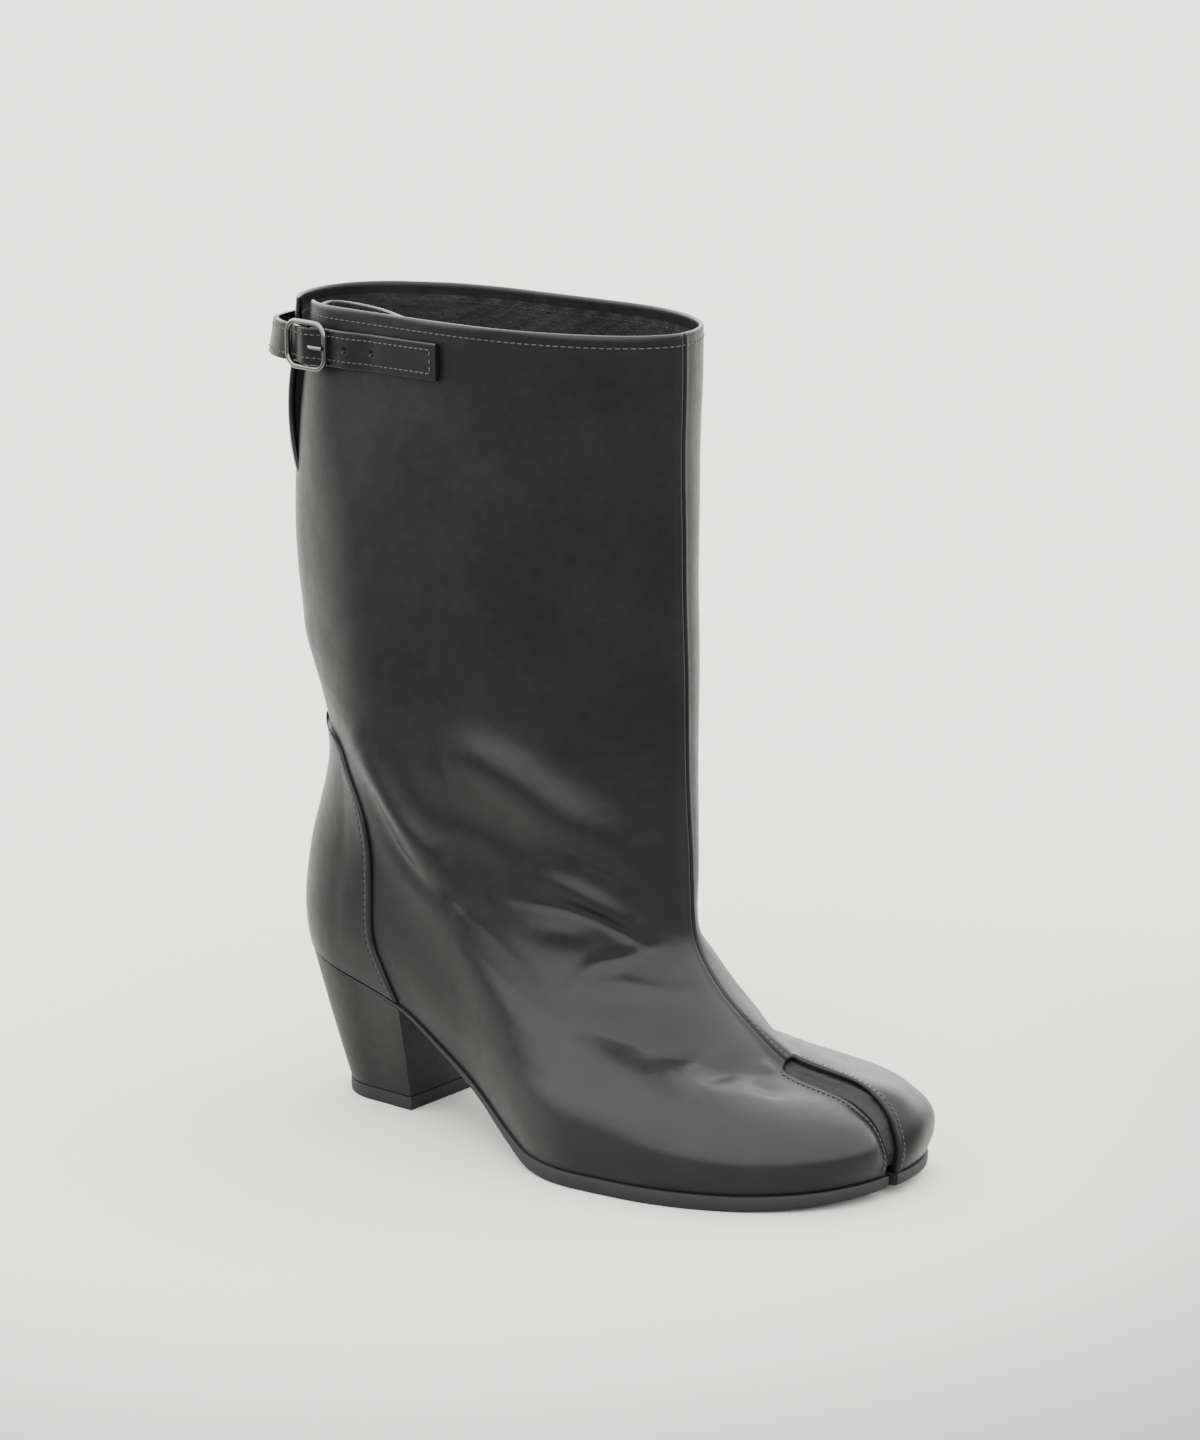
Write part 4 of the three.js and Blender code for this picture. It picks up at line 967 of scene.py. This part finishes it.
# One side of a plate in plan: the body, the toe's outline and the wall of the cleft beside it
def plateSide(margin, grow, inner):
    turn = (lambda angle: 2 * math.pi - angle) if inner else (lambda angle: angle)
    row = sectionAt(0)
    cleftShare = (cleft["start"] - grow - row["backX"]) / (row["frontX"] - row["backX"])
    breakAngle = math.acos(1 - 2 * cleftShare)
    bodyAngles = evenAngles(plateLook["stepMm"], 0, breakAngle, rowsAt=(0,))
    points, normals = formRow(0, turn(bodyAngles))
    body = (points + normals * margin)[:, :2]
    points, normals = formRow(0, turn(np.linspace(breakAngle, math.pi - 1e-4, 500)))
    toe = (points + normals * margin)[:, :2]
    sides = cleftSides(toe[:, 0], grow)[1 if inner else 0]
    past = (toe[:, 1] - sides) * (-1 if inner else 1)
    last = int(np.argmax(past > 0)) if np.any(past > 0) else len(toe) - 1
    toe = evenLine(toe[:last + 1], plateLook["toeStops"])
    reach = toe[-1, 0] - cleft["start"] + grow
    share = np.maximum.accumulate((toe[:, 0] - toe[0, 0]) / (toe[:, 0].max() - toe[0, 0]))
    share = 0.8 * share + 0.2 * np.linspace(0, 1, len(toe))
    xs = cleft["start"] - grow + reach * share ** 1.6
    wall = np.column_stack([xs, cleftSides(xs, grow)[1 if inner else 0]])
    wall[-1] = toe[-1]
    return body, toe, wall


# A plate with the cleft's notch: rings for each layer, closed below and above by strips of faces
def notchedPlate(name, layers, grow, material, replaced):
    rings = []
    for margin, height in layers:
        outBody, outToe, outWall = plateSide(margin, grow, False)
        inBody, inToe, inWall = plateSide(margin, grow, True)
        ring = np.vstack([outBody, outToe[1:], outWall[-2::-1], inWall[1:-1], inToe[:0:-1], inBody[:0:-1]])
        rings.append(np.column_stack([ring, height(ring[:, 0])]))
    points = np.array(rings)
    index = numbered(*points.shape[:2])
    faces = gridFaces(index, closed=True)
    bodies, toes = len(outBody), len(outToe)
    count = points.shape[1]
    outLine = list(range(bodies))
    inLine = [0] + list(range(count - 1, count - bodies, -1))
    outEdge = [bodies - 1] + list(range(bodies, bodies + toes - 1))
    notch = bodies + 2 * (toes - 1) - 1
    outNotch = list(range(notch, notch - toes, -1))
    inNotch = list(range(notch, notch + toes))
    inEdge = list(range(notch + 2 * toes - 2, notch + toes - 2, -1))
    for base in (0, (len(layers) - 1) * count):
        caps = [(outLine[i], outLine[i + 1], inLine[i + 1], inLine[i]) for i in range(bodies - 2)]
        caps.append((outLine[-2], outLine[-1], notch, inLine[-1], inLine[-2]))
        for edge, wall in ((outEdge, outNotch), (inEdge, inNotch)):
            caps += [(edge[j], edge[j + 1], wall[j + 1], wall[j]) for j in range(toes - 1)]
        for face in caps:
            face = tuple(dict.fromkeys(base + i for i in face))
            if len(face) > 2:
                faces.append(face)
    piece = makePiece(name, points, faces, material, replaced)
    closeBody(piece)
    return piece


# Faces of a closed body turned outward, its corners kept sharp
def closeBody(piece, angle=38):
    body = bmesh.new()
    body.from_mesh(piece.data)
    bmesh.ops.recalc_face_normals(body, faces=body.faces)
    body.to_mesh(piece.data)
    body.free()
    piece.data.set_sharp_from_angle(angle=math.radians(angle))


def makeOutsole():
    top = lambda x: featherZ(x) - boot["gap"]
    at = lambda share: (lambda x: mix(soleBottom(x), top(x), share))
    edge = sole["margin"]
    layers = [
        (edge - sole["taper"] - 0.5, soleBottom), (edge - sole["taper"], at(0.07)),
        (edge - 0.2, at(0.3)), (edge, at(0.9)), (edge - 0.15, at(0.97)), (edge - 0.5, top),
    ]
    return notchedPlate("outsole", layers, 0, soleMaterial, ("outsole",))


outsolePiece = makeOutsole()
print("outsole", len(outsolePiece.data.polygons), "faces")


def makeInsole():
    inset = -boot["wall"] - boot["gap"]
    layers = [
        (inset, featherZ), (inset, lambda x: featherZ(x) + 2.0),
        (inset - 0.6, lambda x: featherZ(x) + 2.5),
    ]
    return notchedPlate("insole", layers, 1.4, liningPig, ("insole",))


makeInsole()
print("insole ready")


# Heel block, covered in one piece of leather: crisp breast edges, soft ones at the back
def heelRing(t, grow, height, stops=40, breastStops=8):
    back = mix(boot["gap"], heel["backRake"], t) - grow
    breast = mix(heel["length"], heel["length"] - heel["breastRake"], t) + grow
    half = mix(heel["halfWidth"], heel["floorHalfWidth"], t) + grow
    rounding = mix(0.62, 0.5, t)
    side = []
    bend = stops - breastStops
    for i in range(stops + 1):
        if i < bend:
            along = (1 - math.cos(math.pi / 2 * i / bend)) * rounding
        else:
            along = mix(rounding, 1, (i - bend) / breastStops)
        x = mix(back, breast, along)
        flare = mix(0.94, 1, float(smooth((along - rounding) / (1 - rounding))))
        side.append((x, half * float(roundEnd(along, rounding)) * flare))
    outline = [(x, -y) for x, y in side] + [(x, y) for x, y in side[::-1]]
    outline = outline[:-1]
    return np.array([(x, y, height(x)) for x, y in outline])


def heelBody(name, rings, material, replaced):
    points = np.array(rings)
    index = numbered(*points.shape[:2])
    count = points.shape[1]
    faces = gridFaces(index, closed=True)
    for base, flip in ((0, False), ((len(rings) - 1) * count, True)):
        half = count // 2
        for i in range(half):
            quad = (i, i + 1, (count - i - 1) % count, (count - i) % count)
            quad = tuple(dict.fromkeys(base + k for k in quad))
            if len(quad) > 2:
                faces.append(quad[::-1] if flip else quad)
    return makePiece(name, points.reshape(-1, 3), [f[::-1] for f in faces], material, replaced)


def makeHeel():
    floor = heel["lift"] + boot["gap"]
    seat = lambda x: soleBottom(x) - boot["gap"]
    block = [heelRing(t, 0, lambda x: mix(seat(x), floor, t)) for t in np.linspace(0, 1, 15)]
    closeBody(heelBody("heel", block, heelCalf, ("heel",)))
    edges = ((0.2, heel["lift"]), (0.2, 1.0), (0.0, 0.3), (-0.3, 0.0))
    lift = [heelRing(1, grow, lambda x: z) for grow, z in edges]
    closeBody(heelBody("heel_lift", lift, soleMaterial, ("heel_lift",)))


makeHeel()
print("heel ready")


# Strap and buckle: the strap runs from its square end on the outer side, through the buckle,
# loose across the slit, to the inner panel where it is sewn on
strap = {
    "width": 13.2, "thickness": 1.6, "drop": 12.9, "front": 82.4, "holeSize": 2.0, "holeX": 40.5,
    "holePitch": 12, "holes": 2, "stitchIn": 2.5, "slack": 9, "chapeThickness": 1.2, "chapeLength": 12,
}
buckle = {
    "length": 21.2, "height": 17.8, "wire": 1.9, "corner": 4.5, "x": 31.9, "turn": 0.13,
    "bar": 1.3, "barDrop": 1.3, "prong": 1.4,
}
strapZ = boot["collarHeight"] - strap["drop"]
wallAngles = np.linspace(0.3, 2.2, 60)
wallX = [formPlace(angle, strapZ)[0][0] for angle in wallAngles]


def acrossStrap(theta, stand):
    return [formPlace(theta, strapZ + k * strap["width"] / 2, stand)[0] for k in (-1, 0, 1)]


# Plan places clear of the outer wall, and clear of the inner panel
def wallAt(x, stand):
    angle = float(np.interp(x, wallX, wallAngles))
    return np.array([x, min(p[1] for p in acrossStrap(angle, stand))])


def panelAt(angle, stand):
    theta = 2 * math.pi + angle
    normal = formRow(topRow - 1, np.array([theta]))[1][0].copy()
    normal[2] = 0
    return max(acrossStrap(theta, stand), key=lambda p: float(p @ normal))[:2]


strapStand = boot["gap"] + strap["thickness"] / 2
raisedStand = strapStand + strap["chapeThickness"] + boot["gap"]
frameStand = raisedStand + (strap["thickness"] + buckle["wire"]) / 2 + boot["gap"]
overBar = (buckle["bar"] + strap["thickness"]) / 2 + 2 * boot["gap"]
buckleAlong = np.array([math.cos(buckle["turn"]), -math.sin(buckle["turn"])])
buckleOut = np.array([-math.sin(buckle["turn"]), -math.cos(buckle["turn"])])
buckleFront = wallAt(buckle["x"], frameStand)
buckleSpan = buckle["length"] - buckle["wire"]


# Plan place counted from the buckle's front: so far back along it, so far out of its plane
def inBuckle(back, out):
    return buckleFront - buckleAlong * back + buckleOut * out


def strapPlan():
    under = -(strap["thickness"] + buckle["wire"]) / 2 - boot["gap"]
    cornerRun = buckle["corner"] * 0.4
    slack = strap["slack"]
    lying = np.arange(strap["front"], buckle["x"] + strap["chapeLength"] + 5, -8)
    wall = [wallAt(x, strapStand) for x in lying]
    return splineThrough(np.array(wall + [
        wallAt(buckle["x"] + strap["chapeLength"] * 0.8, raisedStand),
        wallAt(buckle["x"] + strap["chapeLength"] * 0.35, raisedStand),
        inBuckle(0, under), inBuckle(cornerRun, under),
        inBuckle(buckleSpan * 0.5, overBar - buckle["barDrop"]),
        inBuckle(buckleSpan - cornerRun, under), inBuckle(buckleSpan, under),
        inBuckle(buckleSpan + slack * 0.7, under - 0.6),
        inBuckle(buckleSpan + slack * 1.6, under - slack * 0.5),
        inBuckle(buckleSpan + slack * 2.25, under - slack * 1.3),
        panelAt(-0.12, strapStand + slack * 0.5), panelAt(-0.26, strapStand + slack * 0.12),
        panelAt(-0.38, strapStand), panelAt(-0.5, strapStand), panelAt(-0.6, strapStand),
    ]), 400)


# Rounded flat section: across the thickness, then up and down the width
def strapSection(thickness, width, edgeRound=0.35, columns=28):
    t, w = thickness / 2, width / 2
    face = np.linspace(-w + 0.6, w - 0.6, columns)
    corner, rim = t - edgeRound * 0.3, w - 0.25
    outside = [(-corner, -rim)] + [(-t, b) for b in face] + [(-corner, rim), (0, w)]
    return outside + [(corner, rim)] + [(t, b) for b in face[::-1]] + [(corner, -rim), (0, -w)]


# A band of leather standing on edge along a plan line; holes are given as places along it
def ribbonPiece(name, plan, thickness, width, z, replaced, lean=None, holes=(), holeSize=2.0):
    line = np.column_stack([plan, np.full(len(plan), z)])
    along = unit(np.gradient(line, axis=0))
    inward = np.column_stack([along[:, 1], -along[:, 0], np.zeros(len(plan))])
    up = np.tile([0.0, 0.0, 1.0], (len(plan), 1))
    if lean is not None:
        up = unit(up + inward * lean(np.linspace(0, 1, len(plan)))[:, None])
    section = np.array(strapSection(thickness, width))
    points, faces = sweep(line, inward, up, section)
    points = points.reshape(len(plan), len(section), 3)
    travel = np.concatenate([[0], np.cumsum(np.linalg.norm(np.diff(line, axis=0), axis=1))])
    outerFace = section[:, 0] <= -thickness / 2 + 1e-6
    for at in holes:
        distance = np.hypot(travel[:, None] - at, section[None, :, 1])
        sunk = 1 - smooth((distance / (holeSize / 2) - 0.75) / 0.4)
        points += inward[:, None, :] * (sunk * outerFace[None, :] * thickness * 0.85)[..., None]
    piece = makePiece(name, points, faces, blackCalf, replaced)
    closeBody(piece, 60)
    return {"piece": piece, "line": line, "inward": inward, "up": up, "travel": travel}


# The strap leans out of the upright where it hangs loose
def strapLean(t):
    return 0.16 * smooth((t - 0.5) / 0.14) * smooth((0.95 - t) / 0.2)


strapLine = strapPlan()
strapTravel = np.concatenate([[0], np.cumsum(np.linalg.norm(np.diff(strapLine, axis=0), axis=1))])
onWall = len(strapLine) // 2
holePlaces = [float(np.interp(-(strap["holeX"] + k * strap["holePitch"]),
                              -strapLine[:onWall, 0], strapTravel[:onWall])) for k in range(strap["holes"])]
sewnStrap = ribbonPiece("holed_strap", strapLine, strap["thickness"], strap["width"], strapZ,
                        ("holed_strap",), strapLean, holePlaces, strap["holeSize"])


# Border stitching: both long edges and across the free end
def sewStrap(sewnOn=12):
    side = strap["width"] / 2 - strap["stitchIn"]
    line, inward, up, travel = (sewnStrap[k] for k in ("line", "inward", "up", "travel"))
    face = line - inward * strap["thickness"] / 2
    run = (travel > strap["stitchIn"]) & (travel < travel[-1] - sewnOn)
    rows = [(face[run] + up[run] * side * k, -inward[run]) for k in (-1, 1)]
    k = int(np.argmax(travel > strap["stitchIn"]))
    across = np.linspace(-side, side, 24)[:, None]
    rows.append((face[k] + up[k] * across, np.tile(-inward[k], (24, 1))))
    stitchRow("strap_stitches", rows, blackThread, stitches["strap"])


sewStrap()


def buckleWireRing():
    w, h, r = buckleSpan / 2, (buckle["height"] - buckle["wire"]) / 2, buckle["corner"]
    corners = [(w - r, h - r), (-w + r, h - r), (-w + r, -h + r), (w - r, -h + r)]
    line, radial = [], []
    for quarter, (cx, cz) in enumerate(corners):
        for i in range(9):
            angle = math.pi / 2 * (quarter + i / 8)
            place = inBuckle(w - cx - r * math.cos(angle), 0)
            line.append((*place, strapZ + cz + r * math.sin(angle)))
            radial.append((*(buckleAlong * math.cos(angle)), math.sin(angle)))
    return np.array(line), np.array(radial)


roundWire = [(math.cos(a), math.sin(a)) for a in np.arange(12) * math.pi / 6]


# Round rod through the stops, with one direction across it given
def rod(stops, across, thickness):
    line = splineThrough(np.array(stops), 24)
    side = np.tile(across, (len(line), 1))
    other = unit(np.cross(unit(np.gradient(line, axis=0)), side))
    return sweep(line, side, other, [(a * thickness / 2, b * thickness / 2) for a, b in roundWire])


# The wire ring, a little flatter than round, and the middle bar that sinks towards the boot
def makeBuckleFrame(flat=0.92):
    line, radial = buckleWireRing()
    out = np.tile([*buckleOut, 0.0], (len(line), 1))
    radius = buckle["wire"] / 2
    wire = [(a * radius, b * radius * flat) for a, b in roundWire]
    points, faces = sweep(line, radial, out, wire, closed=True)
    reach = (buckle["height"] - buckle["wire"]) / 2
    stops = [(-1, 0), (-0.82, -0.95), (-0.6, -1), (0, -1), (0.6, -1), (0.82, -0.95), (1, 0)]
    stops = [(*inBuckle(buckleSpan / 2, o * buckle["barDrop"]), strapZ + u * reach) for u, o in stops]
    barPoints, barFaces = rod(stops, [*buckleAlong, 0.0], buckle["bar"])
    faces = faces + [tuple(len(points) + i for i in face) for face in barFaces]
    closeBody(makePiece("buckle_frame", np.vstack([points, barPoints]), faces, nickel,
                        ("buckle_frame",)))


# The prong rises from the bar, through the strap, and rests on the front of the frame
def makeProng():
    rest = (buckle["wire"] + buckle["prong"]) / 2 + boot["gap"]
    root = buckleSpan / 2 - (buckle["bar"] + buckle["prong"]) / 2 - boot["gap"]
    stops = [(root, -buckle["barDrop"] - 0.3), (root - 1, rest * 0.45),
             (root - 2.8, rest * 0.95), (2.6, rest + 0.2), (-1, rest)]
    points, faces = rod([(*inBuckle(b, o), strapZ) for b, o in stops], [0.0, 0.0, 1.0], buckle["prong"])
    closeBody(makePiece("buckle_prong", points, faces, nickel, ("buckle_prong",)))


makeBuckleFrame()
makeProng()


# Short strap folded round the middle bar and sewn flat on the boot
def makeChape():
    stand = boot["gap"] + strap["chapeThickness"] / 2
    clear = (buckle["bar"] + strap["chapeThickness"]) / 2 + boot["gap"]
    plan = splineThrough(np.array([
        wallAt(buckle["x"] + strap["chapeLength"] * 0.6, stand), wallAt(buckle["x"], stand),
        wallAt(buckle["x"] - 3, stand),
        inBuckle(buckleSpan * 0.5 - 1, -buckle["barDrop"] - clear - 0.1),
        inBuckle(buckleSpan * 0.5 + clear * 0.75, -buckle["barDrop"] - clear * 0.75),
    ]), 30)
    ribbonPiece("buckle_strap", plan, strap["chapeThickness"], strap["width"] - 3, strapZ,
                ("buckle_strap",))


makeChape()


# Facing folded in behind the slit: run gives an angle and a share of the reach to the inside
facing = {
    "thickness": 1.6, "height": 57, "reach": 14.5,
    "run": ((0.63, 0.21), (0.5, 0.55), (0.62, 1), (1.03, 1), (1.26, 0.56), (1.39, 0.224)),
}
stud = {"size": 11, "height": 1.8, "below": 16, "sides": 40, "at": 9}
facingPlaces = np.array([formPlace(angle, boot["collarHeight"], -inset * facing["reach"])[0][:2]
                         for angle, inset in facing["run"]])


def makeFacing():
    bottom, top = boot["collarHeight"] - facing["height"], boot["collarHeight"] - boot["gap"]
    ribbonPiece("vent_facing", splineThrough(facingPlaces, 70), facing["thickness"], top - bottom,
                (top + bottom) / 2, ("vent_facing",))


# Plain ring stud on the facing: rim and hollow as distance from the axis and height
def makeStud():
    coarse = splineThrough(facingPlaces, 22)
    at, following = coarse[stud["at"]], coarse[stud["at"] + 1]
    turn = math.atan2(following[1] - at[1], following[0] - at[0])
    r, rim = stud["size"] / 2, stud["height"]
    profile = [
        (0, 0), (r, 0), (r, rim * 0.45), (r - 0.25, rim * 0.8), (r - 0.8, rim), (r - 1.5, rim * 0.95),
        (r - 2.2, rim * 0.7), (r - 2.6, rim * 0.4), (0, rim * 0.35),
    ]
    axis = np.array([-math.sin(turn), math.cos(turn), 0])
    sideways = np.array([math.cos(turn), math.sin(turn), 0])
    upward = np.array([0, 0, 1])
    clear = facing["thickness"] / 2 + boot["gap"]
    centre = np.array([*at, boot["collarHeight"] - stud["below"]]) + axis * clear
    angles = np.arange(stud["sides"]) * 2 * math.pi / stud["sides"]
    points = [[centre + axis * h + (sideways * math.cos(a) + upward * math.sin(a)) * max(radius, 1e-3)
               for a in angles] for radius, h in profile]
    index = numbered(len(profile), stud["sides"])
    faces = gridFaces(index, closed=True) + [tuple(index[0]), tuple(index[-1])]
    closeBody(makePiece("press_stud", np.array(points), faces, nickel, ("press_stud",)))


makeFacing()
makeStud()
print("strap and buckle ready")

# Camera in degrees, metres and millimetres of lens. The shift puts the one boot in the middle.
view = {
    "azimuth": 36.84, "elevation": 13.78, "distance": 1.71673, "lens": 122.54, "sensor": 36,
    "target": (0.11125, 0.02773, 0.15), "shift": -0.0625,
}

# Paper colour near the boot and the painted shade on the paper far in front, the metres over which they
# blend, then the light's strengths and the span of direction over which each comes in
studio = {
    "paper": "#a8a8a6", "shadedFarPaper": "#5e5e5f", "paperHalf": 15, "reach": (0.18, 0.5), "front": (-0.25, 0.1),
    "light": "#fafaf8", "horizon": 0.05, "backdrop": 0.7, "overhead": 7.2,
    "backdropEdge": (0.3, 0.9), "overheadEdge": (-0.04, 0.3),
}


# Level direction from the boot towards the camera
def towardsCamera():
    turn = math.radians(view["azimuth"])
    return np.array([math.sin(turn), -math.cos(turn), 0])


def smoothStep(tree, source, span, low=0.0, high=1.0):
    return addNode(tree, "ShaderNodeMapRange", {
        "interpolation_type": "SMOOTHSTEP", "From Min": span[0], "From Max": span[1],
        "To Min": low, "To Max": high}, {"Value": source})


# Pale paper under the boot, with painted shade on it far in front, where the leather mirrors it
def makeFloor():
    half = studio["paperHalf"]
    mesh = bpy.data.meshes.new("floor")
    mesh.from_pydata([(-half, -half, 0), (half, -half, 0), (half, half, 0), (-half, half, 0)],
                     [], [(0, 1, 2, 3)])
    material, tree = startMaterial("pale paper sweep")
    place = addNode(tree, "ShaderNodeTexCoord").outputs["Object"]
    inFront = addNode(tree, "ShaderNodeVectorMath", {
        "operation": "DOT_PRODUCT", 1: tuple(towardsCamera())}, {0: place})
    away = addNode(tree, "ShaderNodeVectorMath", {"operation": "LENGTH"}, {0: place})
    steps = [smoothStep(tree, away.outputs[1], studio["reach"]),
             smoothStep(tree, inFront.outputs[1], studio["front"])]
    # mask of the painted shade on the paper far in front of the boot
    far = addNode(tree, "ShaderNodeMath", {"operation": "MULTIPLY"},
                  {0: steps[0].outputs[0], 1: steps[1].outputs[0]})
    colour = addNode(tree, "ShaderNodeMix", {"data_type": "RGBA"}, {"Factor": far.outputs[0]})
    colour.inputs[6].default_value = linearColour(studio["paper"])
    colour.inputs[7].default_value = linearColour(studio["shadedFarPaper"])
    shader = addNode(tree, "ShaderNodeBsdfPrincipled", {
        "Roughness": 0.95, "Specular IOR Level": 0.0}, {"Base Color": colour.outputs[2]})
    addNode(tree, "ShaderNodeOutputMaterial", {}, {"Surface": shader.outputs[0]})
    mesh.materials.append(material)
    floor = bpy.data.objects.new("floor", mesh)
    bpy.context.collection.objects.link(floor)


# A lit wall behind the boot, a dark room in front and a wide soft light above
def makeLight():
    world = bpy.data.worlds.new("studio")
    bpy.context.scene.world = world
    world.use_nodes = True
    tree = world.node_tree
    direction = addNode(tree, "ShaderNodeTexCoord").outputs["Generated"]
    behind = addNode(tree, "ShaderNodeVectorMath", {
        "operation": "DOT_PRODUCT", 1: tuple(-towardsCamera())}, {0: direction})
    height = addNode(tree, "ShaderNodeSeparateXYZ", {}, {0: direction})
    horizon = studio["horizon"]
    wall = smoothStep(tree, behind.outputs[1], studio["backdropEdge"], horizon, horizon + studio["backdrop"])
    above = smoothStep(tree, height.outputs["Z"], studio["overheadEdge"], 0.0, studio["overhead"])
    both = addNode(tree, "ShaderNodeMath", {"operation": "ADD"}, {0: wall.outputs[0], 1: above.outputs[0]})
    tree.links.new(both.outputs[0], tree.nodes["Background"].inputs[1])
    tree.nodes["Background"].inputs[0].default_value = linearColour(studio["light"])


def makeCamera():
    rise = math.radians(view["elevation"])
    ahead = towardsCamera()
    back = ahead * math.cos(rise) + (0, 0, math.sin(rise))
    right = np.array([-ahead[1], ahead[0], 0])
    up = np.cross(back, right)
    data = bpy.data.cameras.new("camera")
    data.lens = view["lens"]
    data.sensor_width = view["sensor"]
    data.shift_x = view["shift"]
    camera = bpy.data.objects.new("camera", data)
    bpy.context.collection.objects.link(camera)
    place = np.array(view["target"]) + back * view["distance"]
    matrix = Matrix.Identity(4)
    for i in range(3):
        matrix[i][0], matrix[i][1], matrix[i][2], matrix[i][3] = right[i], up[i], back[i], place[i]
    camera.matrix_world = matrix
    bpy.context.scene.camera = camera


makeFloor()
makeLight()
makeCamera()
print("stage ready")
